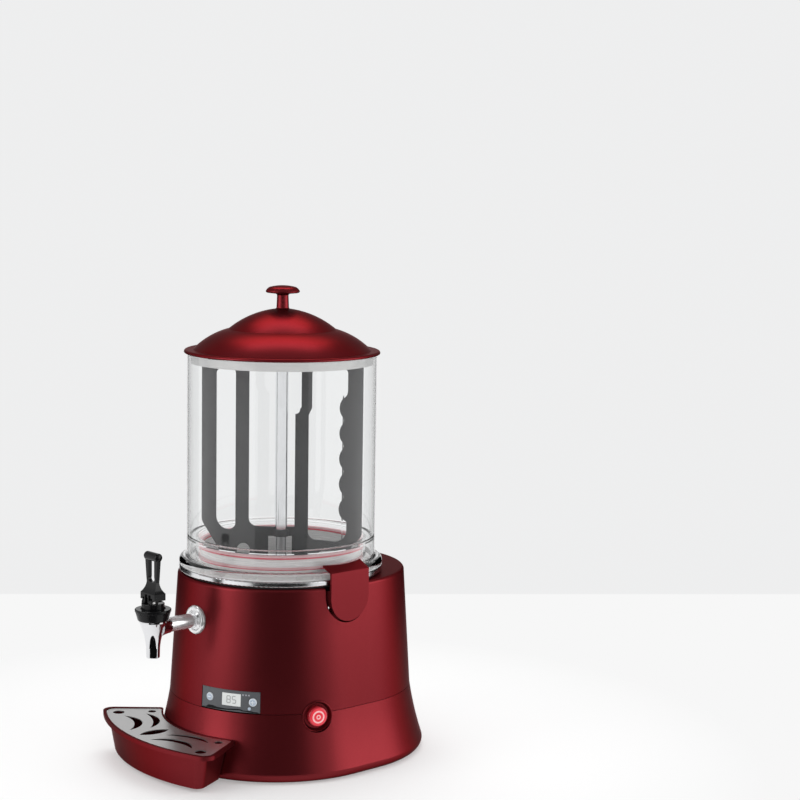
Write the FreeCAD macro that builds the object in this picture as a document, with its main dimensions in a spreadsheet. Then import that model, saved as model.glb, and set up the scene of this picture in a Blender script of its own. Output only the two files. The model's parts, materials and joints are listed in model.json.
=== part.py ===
import FreeCAD, Part
import math
import os
import re
import Sketcher

# Counter-top hot chocolate dispenser.  Millimetres, +Z up, the tap looks along -Y.
# The origin is the middle of the footprint, on the surface that the feet stand on.
# Every sub-part is drawn about the bowl's own upright axis, which stands a little
# behind the origin, and is then moved there by its Placement.

OUT = "parts"

CELLS = {
    # stance
    "bowl_axis_y": 12.9,
    "casing_y": -3,
    "rear_shift": 41,
    "running_gap": 0.06,
    "sliding_gap": 0.5,
    # base casing: two half rounds joined by straight sides
    "deck_z": 229,
    "deck_thick": 2.5,
    "deck_edge": 4,
    "seam_z": 81,
    "seam_radius": 134,
    "seam_gap": 0.6,
    "lean": 0.064,
    "wall": 3,
    "deck_hole": 112.5,
    # skirt under the seam
    "skirt_low": 2,
    "skirt_foot": 145.5,
    "skirt_round": 9,
    "skirt_wide_z": 12,
    "skirt_wide": 150.5,
    "skirt_flare": 420,
    "skirt_shelf_z": 77.5,
    "tongue_radius": 129,
    "tongue_inner": 127,
    "tongue_z": 85,
    "plate_ledge_low": 5.5,
    "plate_ledge_high": 8,
    "plate_ledge": 139.5,
    # underside
    "plate_thick": 1.5,
    "plate_gap": 0.4,
    "vent_length": 46,
    "vent_width": 4,
    "vent_pitch": 11,
    "foot_radius": 11,
    "foot_x": 84,
    "foot_front": 82,
    "foot_rear": 118,
    "stem_radius": 3,
    "screw_radius": 1.6,
    "screw_head": 3.4,
    "screw_x": 96,
    "screw_front": 96,
    "screw_rear": 136,
    # chrome ring and gasket under the bowl
    "ring_radius": 125.5,
    "ring_bore": 110,
    "ring_low": 231,
    "ring_high": 238,
    "ring_round": 1.5,
    "gasket_outer": 121.5,
    "gasket_inner": 113,
    # steel pot and water jacket
    "pot_radius": 99.2,
    "pot_wall": 1.2,
    "pot_top": 262,
    "pot_floor": 170,
    "pot_corner": 5,
    "flange_radius": 121.3,
    "jacket_radius": 107,
    "jacket_low": 150,
    "seal_outer": 101.9,
    "upper_seal_z": 260.5,
    "upper_seal_high": 265,
    "lower_seal_z": 246.5,
    "lower_seal_high": 250.5,
    # clear bowl
    "bowl_radius": 116,
    "bowl_wall": 3.5,
    "bowl_top": 497,
    "bowl_floor": 272,
    "bowl_cove": 2.5,
    "collar_inner": 102,
    "collar_outer": 105,
    "collar_low": 241.5,
    "hoop_radius": 125.5,
    "hoop_wall": 3.5,
    "hoop_low": 238.3,
    "hoop_top": 247.5,
    "hoop_round": 6,
    # fixed centre tube, drive shaft and agitator
    "tube_radius": 6.6,
    "tube_bore": 5,
    "tube_low": 146,
    "tube_top": 480,
    "shaft_radius": 4,
    "shaft_low": 128,
    "shaft_top": 489,
    "bush_high": 12,
    "sleeve_radius": 7.8,
    "sleeve_bore": 7,
    "sleeve_low": 277,
    "sleeve_top": 484,
    "paddle_turn": 50.9,
    "paddle_thick": 4,
    "paddle_top": 491,
    "paddle_bar": 13,
    "paddle_left": 98,
    "paddle_right": 100,
    "paddle_pot": 84,
    "paddle_foot": 177,
    "hub_radius": 9.8,
    "hub_low": 270,
    "wave_top": 445.5,
    "wave_pitch": 31.6,
    "wave_crest": 70.5,
    "wave_valley": 74.5,
    "wave_bulge": 18.2,
    "wave_dip": 7.1,
    "cap_radius": 12,
    "cap_top": 497,
    # drive under the jacket
    "gearbox_width": 62,
    "gearbox_low": 104,
    "gearbox_high": 138,
    "motor_radius": 24,
    "motor_low": 42,
    "motor_shift": 14,
    "bracket_width": 96,
    "bracket_low": 138,
    "bracket_thick": 2.5,
    "heater_radius": 78,
    "heater_tube": 3.5,
    "heater_z": 158,
    "probe_radius": 3,
    "probe_x": 55.5,
    "probe_y": -24,
    # lid
    "lid_gap": 0.4,
    "lid_wall": 2,
    "rim_radius": 120,
    "rim_high": 4,
    "rim_shelf": 109,
    "step_radius": 66,
    "step_z": 526.5,
    "dome_z": 552,
    "shoulder_arc": 92,
    "dome_arc": 112,
    "band_radius": 111.8,
    "band_thick": 1,
    "band_low": 486,
    "knob_stem": 7.6,
    "knob_radius": 20.8,
    "knob_low": 570,
    "knob_top": 580,
    "knob_screw": 2.5,
    # tap
    "tap_reach": 193,
    "spout_z": 183,
    "shank_radius": 8.8,
    "shank_bore": 6.5,
    "nozzle_low": 147,
    "nozzle_radius": 8,
    "nozzle_bore": 5.5,
    "tap_rim": 16.5,
    "tap_top": 197,
    "seat_z": 167,
    "cone_low": 159,
    "cone_high": 190,
    "cone_arc": 90,
    "collar_wide": 21.5,
    "collar_narrow": 18.2,
    "collar_z": 192,
    "collar_high": 206,
    "grip_count": 14,
    "bonnet_radius": 13.6,
    "bonnet_top": 213,
    "roof_z": 205,
    "spring_wire": 0.6,
    "spring_turns": 5,
    "pivot_y": 5,
    "pivot_z": 214,
    "pivot_radius": 1.9,
    "link_radius": 1.2,
    "stem_rod": 2.5,
    "plug_radius": 8,
    "prong_thick": 1.3,
    "lever_width": 28,
    "lever_depth": 16,
    "lever_low": 217,
    "lever_shoulder": 225,
    "lever_neck": 238,
    "loop_width": 25,
    "loop_bar": 6.8,
    "loop_depth": 5,
    "grip_z": 268,
    "grip_radius": 5.2,
    "grip_length": 27,
    "escutcheon_radius": 17.5,
    "rose_bead": 3.4,
    # latches
    "latch_front": 28,
    "latch_rear": 31,
    "latch_face": 129.6,
    "latch_wall": 2.4,
    "latch_cheek": 2.5,
    "latch_low": 186,
    "latch_hook_low": 246.8,
    "latch_hook_high": 255.4,
    "latch_hook_x": 112,
    "latch_pin_x": 123.8,
    "latch_pin_z": 205,
    "latch_pin": 1.5,
    "latch_gap": 2.2,
    "latch_lug": 2.8,
    "pocket_floor": 112.4,
    "pocket_wall": 2.2,
    # control panel
    "panel_from": 7.9,
    "panel_to": 42,
    "panel_low": 81.9,
    "panel_high": 107,
    "panel_inset": 0.6,
    "panel_thick": 2.4,
    "window_from": 20.8,
    "window_to": 31.5,
    "window_low": 88.2,
    "window_high": 103.2,
    "key_radius": 4.9,
    "minus_at": 13.3,
    "minus_z": 95.5,
    "plus_at": 38,
    "plus_z": 94.5,
    "set_at": 36.2,
    "set_z": 86.6,
    "set_radius": 2,
    "lamp_radius": 1.1,
    "lamp_from": 32.7,
    "lamp_pitch": 1.6,
    "lamp_z": 102.5,
    # power switch on the seam
    "power_at": 71.4,
    "power_z": 76.5,
    "bezel_radius": 18.8,
    "bezel_mouth": 15.2,
    "bezel_bore": 12.4,
    "power_radius": 11.9,
    # drip tray
    "tray_turn": -6,
    "tray_bow": 44.8,
    "tray_top": 49.8,
    "tray_lip": 5,
    "tray_low": 5,
    "tray_half": 35.9,
    "tray_inner": 145,
    "tray_outer": 213.4,
    "tray_corner": 13,
    "neck_half": 32.5,
    "neck_inner": 147,
    "neck_outer": 207,
    "neck_corner": 11,
    "floor_half": 30.3,
    "floor_inner": 156.5,
    "floor_outer": 200,
    "tray_wall": 2.4,
    "grid_half": 34.6,
    "grid_inner": 147.2,
    "grid_outer": 209.2,
    "grid_corner": 11,
    "grid_thick": 1.2,
    "grid_drop": 0.8,
    "tongue_z_low": 26.7,
    "tongue_thick": 2.6,
    "tongue_across": 17.6,
    "tongue_x": 34,
    # mains inlet
    "inlet_z": 40,
    "inlet_width": 24.4,
    "inlet_height": 16.6,
    "inlet_deep": 16,
    "inlet_face": 176,
}

doc = FreeCAD.newDocument("hot_chocolate_dispenser")
dims = doc.addObject("Spreadsheet::Sheet", "dims")
for row, (alias, number) in enumerate(CELLS.items(), start=1):
    dims.set(f"A{row}", alias)
    dims.set(f"B{row}", str(number))
    dims.setAlias(f"B{row}", alias)
doc.recompute()

nodes = {}


# ---------------------------------------------------------------- helpers

def bound(text):
    """The expression text with each dimension's name made a reference to the sheet."""
    return re.sub(r"[a-z_]+", lambda m: "dims." + m.group() if m.group() in CELLS else m.group(), str(text))


def value(text):
    return float(dims.evalExpression(bound(text)))


def keep(name, thing):
    """Names the object that is the finished sub-part."""
    thing.Label = name
    nodes[name] = thing
    return thing


def place(thing, x="0", y="0", z="0", turn=None):
    """Stands an object on the bowl's axis, moved by x, y, z and turned about +Z."""
    thing.setExpression("Placement.Base.x", bound(x))
    thing.setExpression("Placement.Base.y", bound(f"bowl_axis_y + ({y})"))
    thing.setExpression("Placement.Base.z", bound(z))
    if turn is not None:
        thing.setExpression("Placement.Rotation.Angle", bound(turn))
    return thing


def new_body(label, **at):
    body = doc.addObject("PartDesign::Body", label)
    return place(body, **at)


def new_sketch(body, plane, offset=None):
    """A sketch on one of the body's origin planes; offset moves it along the plane's normal."""
    sketch = body.newObject("Sketcher::SketchObject", body.Name + "_sketch")
    flat = [f for f in body.Origin.OriginFeatures if f.Role == plane + "_Plane"][0]
    sketch.AttachmentSupport = [(flat, "")]
    sketch.MapMode = "FlatFace"
    if offset is not None:
        sketch.setExpression("AttachmentOffset.Base.z", bound(offset))
    return sketch


def arc_between(a, b, radius):
    """The lesser arc from a to b: it turns left for a radius above 0, right below 0."""
    if radius < 0:
        a, b = b, a
    half = (b - a) / 2
    rise = math.sqrt(max(radius * radius - half.Length ** 2, 0))
    centre = a + half + FreeCAD.Vector(-half.y, half.x, 0).normalize() * rise
    start = math.atan2(a.y - centre.y, a.x - centre.x)
    sweep = 2 * math.asin(min(half.Length / abs(radius), 1))
    whole = Part.Circle(centre, FreeCAD.Vector(0, 0, 1), abs(radius))
    return Part.ArcOfCircle(whole, start, start + sweep)


def end_at(sketch, index, point):
    start = sketch.Geometry[index].StartPoint
    return 1 if (start - point).Length < 1e-6 else 2


def outline(sketch, corners):
    """Draws a closed outline. A corner is (across, up), or (across, up, radius) where the
    stretch that ends there is an arc. Every number is bound to the sheet."""
    first = sketch.GeometryCount
    spots = [FreeCAD.Vector(value(c[0]), value(c[1]), 0) for c in corners]
    for i, corner in enumerate(corners):
        if len(corner) == 3:
            sketch.addGeometry(arc_between(spots[i - 1], spots[i], value(corner[2])), False)
        else:
            sketch.addGeometry(Part.LineSegment(spots[i - 1], spots[i]), False)
    for i, corner in enumerate(corners):
        here = first + i
        after = first + (i + 1) % len(corners)
        end = end_at(sketch, here, spots[i])
        sketch.addConstraint(
            Sketcher.Constraint("Coincident", here, end, after, end_at(sketch, after, spots[i]))
        )
        both = (("DistanceX", corner[0], spots[i].x), ("DistanceY", corner[1], spots[i].y))
        for kind, text, number in both:
            datum = sketch.addConstraint(Sketcher.Constraint(kind, -1, 1, here, end, number))
            sketch.setExpression(f"Constraints[{datum}]", bound(text))
        if len(corner) == 3:
            datum = sketch.addConstraint(Sketcher.Constraint("Radius", here, abs(value(corner[2]))))
            sketch.setExpression(f"Constraints[{datum}]", bound(f"abs({corner[2]})"))


def circle(sketch, x, y, radius):
    centre = FreeCAD.Vector(value(x), value(y), 0)
    index = sketch.addGeometry(Part.Circle(centre, FreeCAD.Vector(0, 0, 1), value(radius)))
    for kind, text in (("DistanceX", x), ("DistanceY", y)):
        datum = sketch.addConstraint(Sketcher.Constraint(kind, -1, 1, index, 3, value(text)))
        sketch.setExpression(f"Constraints[{datum}]", bound(text))
    datum = sketch.addConstraint(Sketcher.Constraint("Radius", index, value(radius)))
    sketch.setExpression(f"Constraints[{datum}]", bound(radius))


def feature(body, kind, sketch, **settings):
    """A PartDesign feature of a sketch. A cut has to take something away, an addition has to add."""
    before = body.Shape.Volume if body.Tip else 0
    made = body.newObject("PartDesign::" + kind, body.Name + "_" + kind)
    made.Profile = sketch
    if kind in ("Revolution", "Groove"):
        made.ReferenceAxis = (sketch, [settings.pop("axis", "V_Axis")])
        made.Angle = 360
    for name, setting in settings.items():
        if isinstance(setting, str):
            made.setExpression(name, bound(setting))
        else:
            setattr(made, name, setting)
    doc.recompute()
    change = body.Shape.Volume - before
    wanted = -1 if kind in ("Pocket", "Groove", "SubtractiveLoft") else 1
    if change * wanted < 1e-6:
        raise RuntimeError(f"{made.Name} changed the volume by {change:.4f}")
    return made


def add(body, kind, plane, corners, offset=None, **settings):
    """One more feature on the body, from one outline."""
    sketch = new_sketch(body, plane, offset)
    outline(sketch, corners)
    return feature(body, kind, sketch, **settings)


def pattern(body, original, count):
    """Repeats a feature round the body's upright axis."""
    upright = [f for f in body.Origin.OriginFeatures if f.Role == "Z_Axis"][0]
    ring = body.newObject("PartDesign::PolarPattern", body.Name + "_ring")
    ring.Originals = [original]
    ring.Axis = (upright, [""])
    ring.Angle = 360
    ring.Occurrences = int(value(count))
    body.Tip = ring
    doc.recompute()
    return ring


def turned(label, corners, **at):
    """A body revolved about its own upright axis, from (radius, height) corners."""
    body = new_body(label, **at)
    add(body, "Revolution", "XZ", corners)
    return body


def radial(label, corners, angle, height):
    """A body revolved about a level line that points out of the casing at an angle from the
    tap. Corners are (out, radius), with out counted from the axis of the casing's front."""
    body = new_body(label, y="casing_y", z=height, turn=angle)
    add(body, "Revolution", "YZ", [(f"-({c[0]})", *c[1:]) for c in corners], axis="H_Axis")
    return body


def rod(label, radius, length, x="0", y="0", z="0", along="Z"):
    """A Part cylinder from x, y, z along +X, +Y or +Z."""
    made = doc.addObject("Part::Cylinder", label)
    made.setExpression("Radius", bound(radius))
    made.setExpression("Height", bound(length))
    facing = {"X": (0, 1, 0), "Y": (-1, 0, 0), "Z": (0, 0, 1)}[along]
    made.Placement = FreeCAD.Placement(
        FreeCAD.Vector(), FreeCAD.Rotation(FreeCAD.Vector(*facing), 0 if along == "Z" else 90)
    )
    return place(made, x, y, z)


def block(label, length, width, height, x="0", y="0", z="0"):
    """A Part box with its low corner at x, y, z."""
    made = doc.addObject("Part::Box", label)
    made.setExpression("Length", bound(length))
    made.setExpression("Width", bound(width))
    made.setExpression("Height", bound(height))
    return place(made, x, y, z)


def fuse(label, parts):
    made = doc.addObject("Part::MultiFuse", label)
    made.Shapes = parts
    return made


def cut(label, base, tool):
    made = doc.addObject("Part::Cut", label)
    made.Base = base
    made.Tool = tool
    return made


def common(label, one, other):
    made = doc.addObject("Part::MultiCommon", label)
    made.Shapes = [one, other]
    return made


def group(label, parts):
    """Separate solids kept together as one sub-part."""
    made = doc.addObject("Part::Compound", label)
    made.Links = parts
    return made


def casing_at(z, inset="0"):
    """The upper casing's outer radius at a height, less an inset."""
    return f"(seam_radius - lean * (({z}) - seam_z) - ({inset}))"


def racetrack(label, corners):
    """A solid whose plan is two half rounds joined by straight sides. Corners run up the
    outside from the axis to the axis; they are revolved at the front and at the rear, and
    drawn straight between."""
    body = new_body(label, y="casing_y")
    add(body, "Revolution", "XZ", corners, Angle=180, Reversed=True)
    mirrored = [(f"-({c[0]})", c[1]) for c in corners[1:-1]]
    middle = list(corners[1:-1]) + [
        (*spot, corners[-1 - i][2]) if i and len(corners[-1 - i]) == 3 else spot
        for i, spot in enumerate(reversed(mirrored))
    ]
    add(body, "Pad", "XZ", middle, Length="rear_shift", Reversed=True)
    add(body, "Revolution", "XZ", corners, offset="-rear_shift", Angle=180)
    return body


# ---------------------------------------------------------------- base casing

def latch_outline(grow):
    """The latch seen from the side: straight to its shoulders, half round below."""
    middle = "(latch_rear - latch_front) / 2"
    reach = f"((latch_rear + latch_front) / 2 + {grow})"
    centre = "(latch_low + (latch_rear + latch_front) / 2)"
    return [
        (f"{middle} + {reach}", centre, reach),
        (f"{middle} + {reach}", "deck_z + 40"),
        (f"{middle} - {reach}", "deck_z + 40"),
        (f"{middle} - {reach}", centre),
        (middle, f"{centre} - {reach}", reach),
    ]


def latch_block(label, side, low_x, high_x, grow, top=None):
    """A solid with the latch's outline between two planes; side is 1 for +X, -1 for -X."""
    body = new_body(label)
    corners = latch_outline(grow)
    if top is not None:
        corners[1] = (corners[1][0], top)
        corners[2] = (corners[2][0], top)
    offset = low_x if side > 0 else f"-({low_x})"
    add(body, "Pad", "YZ", corners, offset=offset, Length=f"({high_x}) - ({low_x})", Reversed=side < 0)
    return body


def upper_casing():
    top = casing_at("deck_z - deck_edge")
    outer = racetrack("casing_outer", [
        ("0", "seam_z"), ("seam_radius", "seam_z"), (top, "deck_z - deck_edge"),
        (f"{top} - deck_edge", "deck_z", "deck_edge"), ("0", "deck_z"),
    ])
    under = "deck_z - deck_thick"
    inner = racetrack("casing_inner", [
        ("0", "seam_z - 1"), (casing_at("seam_z - 1", "wall"), "seam_z - 1"),
        (casing_at(under, "wall"), under),
        ("0", under),
    ])
    liners = [
        latch_block(f"pocket_liner_{tag}", side, "pocket_floor - pocket_wall", "latch_face",
                    "(latch_gap + pocket_wall)", "deck_z")
        for tag, side in (("right", 1), ("left", -1))
    ]
    lined = fuse("casing_lined", [
        cut("casing_shell", outer, inner),
        common("pocket_liners", fuse("liner_pair", liners), outer),
    ])
    pockets = [
        latch_block(f"latch_pocket_{tag}", side, "pocket_floor", "latch_face + 6", "latch_gap")
        for tag, side in (("right", 1), ("left", -1))
    ]
    window = new_body("panel_window", y="casing_y", turn="panel_from")
    add(window, "Revolution", "XZ", [
        (casing_at("seam_z - 2", "wall + 4"), "seam_z - 2"), (casing_at("seam_z - 2", "-4"), "seam_z - 2"),
        (casing_at("panel_high + 0.4", "-4"), "panel_high + 0.4"),
        (casing_at("panel_high + 0.4", "wall + 4"), "panel_high + 0.4"),
    ], Angle="panel_to - panel_from")
    turn_front(window, "panel_from")
    tools = fuse("casing_tools", pockets + [
        window,
        rod("deck_opening", "deck_hole", "20", z="deck_z - 15"),
        rod("shank_hole", "shank_radius + 0.1", "60", y="-150", z="spout_z", along="Y"),
        switch_hole("casing_switch_hole"),
    ] + pin_rods("pin_hole"))
    keep("upper_casing", fuse("upper_casing", [cut("casing_cut", lined, tools), latch_lugs()]))


def turn_front(body, angle):
    """Turns a body drawn from +X so that it starts at an angle from the tap's direction."""
    body.setExpression("Placement.Rotation.Angle", bound(f"{angle} - 90"))
    doc.recompute()


def switch_hole(label):
    made = radial(label, [
        ("100", "0"), ("160", "0"), ("160", "bezel_radius + 0.1"), ("100", "bezel_radius + 0.1"),
    ], "power_at", "power_z")
    return made


def latch_lugs():
    """The ribs inside the latch pockets that carry the latch pins."""
    lugs = []
    for tag, side in (("right", 1), ("left", -1)):
        for end, y in (("front", "-latch_front + latch_cheek + 3"),
                       ("rear", "latch_rear - latch_cheek - 11")):
            body = new_body(f"lug_{tag}_{end}")
            x = "" if side > 0 else "-"
            corners = [
                (f"{x}(pocket_floor - 1)", "latch_pin_z - latch_lug"),
                (f"{x}latch_pin_x", "latch_pin_z - latch_lug"),
                (f"{x}(latch_pin_x + latch_lug)", "latch_pin_z", f"{x}latch_lug"),
                (f"{x}latch_pin_x", "latch_pin_z + latch_lug", f"{x}latch_lug"),
                (f"{x}(pocket_floor - 1)", "latch_pin_z + latch_lug"),
            ]
            sketch = new_sketch(body, "XZ", offset=f"-({y})")
            outline(sketch, corners)
            circle(sketch, f"{x}latch_pin_x", "latch_pin_z", "latch_pin")
            feature(body, "Pad", sketch, Length="8", Reversed=True)
            lugs.append(body)
    return fuse("latch_lug_set", lugs)


def base_skirt():
    outer = racetrack("skirt_outer", [
        ("0", "skirt_low"), ("skirt_foot", "skirt_low"), ("skirt_wide", "skirt_wide_z", "skirt_round"),
        ("seam_radius", "seam_z - seam_gap", "-skirt_flare"), ("tongue_radius", "seam_z - seam_gap"),
        ("tongue_radius", "tongue_z"), ("0", "tongue_z"),
    ])
    inner = racetrack("skirt_inner", [
        ("0", "skirt_low - 1"), ("plate_ledge + 3", "skirt_low - 1"), ("plate_ledge + 3", "plate_ledge_low"),
        ("plate_ledge", "plate_ledge_low"), ("plate_ledge", "plate_ledge_high"),
        ("skirt_wide - wall", "plate_ledge_high + 4"),
        ("seam_radius - wall", "skirt_shelf_z", "-skirt_flare"), ("tongue_inner", "skirt_shelf_z"),
        ("tongue_inner", "tongue_z + 1"), ("0", "tongue_z + 1"),
    ])
    bosses = []
    holes = []
    for i, (side, y) in enumerate(CORNER_SCREWS):
        bosses.append(rod(f"boss_{i}", "screw_radius + 3", "plate_ledge_high + 9",
                          x=f"{side} * screw_x", y=y, z="plate_ledge_low"))
        holes.append(rod(f"boss_hole_{i}", "screw_radius", "40", x=f"{side} * screw_x", y=y, z="0"))
        bosses.append(web_to_wall(i, side, y))
    bosses.append(block("inlet_boss", "inlet_width + 32", "30", "inlet_height + 16",
                        x="-(inlet_width + 32) / 2",
                        y="inlet_face - 5.5", z="inlet_z - (inlet_height + 16) / 2"))
    shell = fuse("skirt_bossed", [
        cut("skirt_shell", outer, inner), common("boss_inside", fuse("bosses", bosses), outer),
    ])
    vents = []
    for i in range(8):
        side = "1" if i % 2 else "-1"
        vents.append(block(f"rear_vent_{i}", "3", "30", "22", x=f"{side} * ({34 + 7 * (i // 2)}) - 1.5",
                           y="rear_shift + 110", z="30"))
    tools = fuse("skirt_tools", holes + vents + [
        switch_hole("skirt_switch_hole"),
        block("inlet_hole", "inlet_width + 5", "60", "inlet_height + 5", x="-(inlet_width + 5) / 2",
              y="rear_shift + 110", z="inlet_z - (inlet_height + 5) / 2"),
        block("inlet_recess", "inlet_width + 26.8", "40", "inlet_height + 10.8",
              x="-(inlet_width + 26.8) / 2",
              y="inlet_face - 2.5", z="inlet_z - (inlet_height + 10.8) / 2"),
        panel_relief(),
    ] + tray_slots())
    keep("base_skirt", cut("base_skirt", shell, tools))


CORNER_SCREWS = [
    ("1", "-screw_front"), ("-1", "-screw_front"), ("1", "screw_rear"), ("-1", "screw_rear"),
]


def web_to_wall(i, side, y):
    """A rib from a screw boss out to the skirt's wall."""
    body = new_body(f"boss_web_{i}", x=f"{side} * screw_x", y=y, z="plate_ledge_low")
    quarter = {("1", "-screw_front"): "-45", ("-1", "-screw_front"): "-135",
               ("1", "screw_rear"): "45", ("-1", "screw_rear"): "135"}[(side, y)]
    body.setExpression("Placement.Rotation.Angle", quarter)
    add(body, "Pad", "XY", [("2", "-1.2"), ("24", "-1.2"), ("24", "1.2"), ("2", "1.2")],
        Length="plate_ledge_high + 3")
    return body


def panel_relief():
    """Room in the skirt's tongue for the back of the control panel."""
    body = new_body("panel_relief", y="casing_y")
    add(body, "Revolution", "XZ", [
        ("tongue_inner - 1", "seam_z - 0.4"), ("tongue_radius + 1", "seam_z - 0.4"),
        ("tongue_radius + 1", "tongue_z + 1"), ("tongue_inner - 1", "tongue_z + 1"),
    ], Angle="panel_to - panel_from + 6")
    turn_front(body, "panel_from - 3")
    return body


def tray_slots():
    """Two slots in the skirt's front wall for the drip tray's tongues."""
    slots = []
    for tag, side in (("right", "1"), ("left", "-1")):
        body = new_body(f"tray_slot_{tag}", turn="tray_turn")
        middle = f"{side} * tongue_x"
        half = "(tongue_across / 2 + 0.7)"
        add(body, "Pad", "XY", [
            (f"{middle} + {half}", "-120"), (f"{middle} - {half}", "-120"),
            (f"{middle} - {half}", "-160"), (f"{middle} + {half}", "-160"),
        ], offset="tongue_z_low - 0.7", Length="tongue_thick + 1.4")
        slots.append(body)
    return slots


def bottom_plate():
    plate = racetrack("plate_blank", [
        ("0", "plate_ledge_low - plate_thick"),
        ("plate_ledge + 3 - plate_gap", "plate_ledge_low - plate_thick"),
        ("plate_ledge + 3 - plate_gap", "plate_ledge_low"), ("0", "plate_ledge_low"),
    ])
    tools = []
    for i, (side, y) in enumerate(CORNER_SCREWS):
        tools.append(rod(f"plate_screw_hole_{i}", "screw_radius + 0.2", "10", x=f"{side} * screw_x", y=y,
                         z="0"))
    for i, (side, y) in enumerate(FEET):
        tools.append(rod(f"plate_foot_hole_{i}", "stem_radius + 0.05", "10", x=f"{side} * foot_x", y=y,
                         z="0"))
    for i in range(8):
        body = new_body(f"vent_{i}", x=f"{i - 3.5} * vent_pitch", y="rear_shift / 2")
        slot(body, "vent_width / 2", "vent_length / 2", Length="20")
        tools.append(body)
    keep("bottom_plate", cut("bottom_plate", plate, fuse("plate_tools", tools)))


def slot(body, radius, half, **settings):
    """A round-ended slot along Y."""
    add(body, "Pad", "XY", [
        (f"-({radius})", f"{half} - ({radius})", radius), (f"-({radius})", f"({radius}) - {half}"),
        ("0", f"-({half})", radius), (radius, f"({radius}) - {half}", radius),
        (radius, f"{half} - ({radius})"), ("0", half, radius),
    ], **settings)


FEET = [("1", "-foot_front"), ("-1", "-foot_front"), ("1", "foot_rear"), ("-1", "foot_rear")]


def rubber_feet():
    feet = [
        turned(f"foot_{i}", [
            ("0", "0"), ("foot_radius - 1.5", "0"), ("foot_radius", "1.5"),
            ("foot_radius", "plate_ledge_low - plate_thick"),
            ("stem_radius", "plate_ledge_low - plate_thick"),
            ("stem_radius", "plate_ledge_low"), ("stem_radius + 1.2", "plate_ledge_low"),
            ("stem_radius - 0.6", "plate_ledge_low + 3"), ("0", "plate_ledge_low + 3"),
        ], x=f"{side} * foot_x", y=y)
        for i, (side, y) in enumerate(FEET)
    ]
    keep("rubber_feet", group("rubber_feet", feet))


def base_screws():
    under = "(plate_ledge_low - plate_thick)"
    screws = [
        turned(f"base_screw_{i}", [
            ("0", f"{under} - 2"), ("screw_head - 0.8", f"{under} - 2"), ("screw_head", f"{under} - 1", "2"),
            ("screw_head", under), ("screw_radius", under), ("screw_radius", "plate_ledge_low + 11"),
            ("0", "plate_ledge_low + 12"),
        ], x=f"{side} * screw_x", y=y)
        for i, (side, y) in enumerate(CORNER_SCREWS)
    ]
    keep("base_screws", group("base_screws", screws))


# ---------------------------------------------------------------- pot, jacket, bowl

def ring_and_gasket():
    keep("chrome_ring", turned("chrome_ring", [
        ("ring_bore", "ring_low"), ("ring_radius - ring_round", "ring_low"),
        ("ring_radius", "ring_low + ring_round", "ring_round"), ("ring_radius", "ring_high - ring_round"),
        ("ring_radius - ring_round", "ring_high", "ring_round"), ("ring_bore", "ring_high"),
    ]))
    keep("deck_gasket", turned("deck_gasket", [
        ("gasket_inner", "deck_z"), ("gasket_outer", "deck_z"), ("gasket_outer", "ring_low"),
        ("gasket_inner", "ring_low"),
    ]))


def steel_pot():
    wall = "pot_wall"
    pot = turned("pot_blank", [
        ("0", f"pot_floor - {wall}"), (f"pot_radius - pot_corner", f"pot_floor - {wall}"),
        ("pot_radius", f"pot_floor - {wall} + pot_corner", "pot_corner"), ("pot_radius", "ring_high"),
        ("flange_radius", "ring_high"), ("flange_radius", f"ring_high + {wall}"),
        ("pot_radius", f"ring_high + {wall}"), ("pot_radius", "pot_top"),
        (f"pot_radius - {wall}", "pot_top"), (f"pot_radius - {wall}", f"pot_floor - {wall} + pot_corner"),
        (f"pot_radius - pot_corner", "pot_floor", f"-(pot_corner - {wall})"), ("0", "pot_floor"),
    ])
    tools = fuse("pot_tools", [
        rod("pot_outlet", "shank_radius", "40", y="-115", z="spout_z", along="Y"),
        rod("pot_tube_hole", "tube_radius", "20", z="pot_floor - 10"),
    ])
    keep("inner_pot", cut("inner_pot", pot, tools))


def water_jacket():
    wall = "pot_wall"
    jacket = turned("jacket_blank", [
        ("0", "jacket_low"), ("jacket_radius - 8", "jacket_low"), ("jacket_radius", "jacket_low + 8", "8"),
        ("jacket_radius", "ring_high"), (f"jacket_radius - {wall}", "ring_high"),
        (f"jacket_radius - {wall}", "jacket_low + 8"),
        ("jacket_radius - 8", f"jacket_low + {wall}", f"-(8 - {wall})"),
        ("0", f"jacket_low + {wall}"),
    ])
    tools = fuse("jacket_tools", [
        rod("jacket_outlet", "shank_radius", "40", y="-120", z="spout_z", along="Y"),
        rod("jacket_tube_hole", "tube_radius", "20", z="jacket_low - 10"),
        rod("jacket_probe_hole", "probe_radius", "20", x="probe_x", y="probe_y", z="jacket_low - 10"),
        rod("jacket_heater_hole", "heater_tube", "20", x="heater_radius", z="jacket_low - 10"),
        rod("jacket_heater_hole_far", "heater_tube", "20", x="heater_radius * cos(20)",
            y="heater_radius * sin(-20)", z="jacket_low - 10"),
    ])
    keep("water_jacket", cut("water_jacket", jacket, tools))


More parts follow.
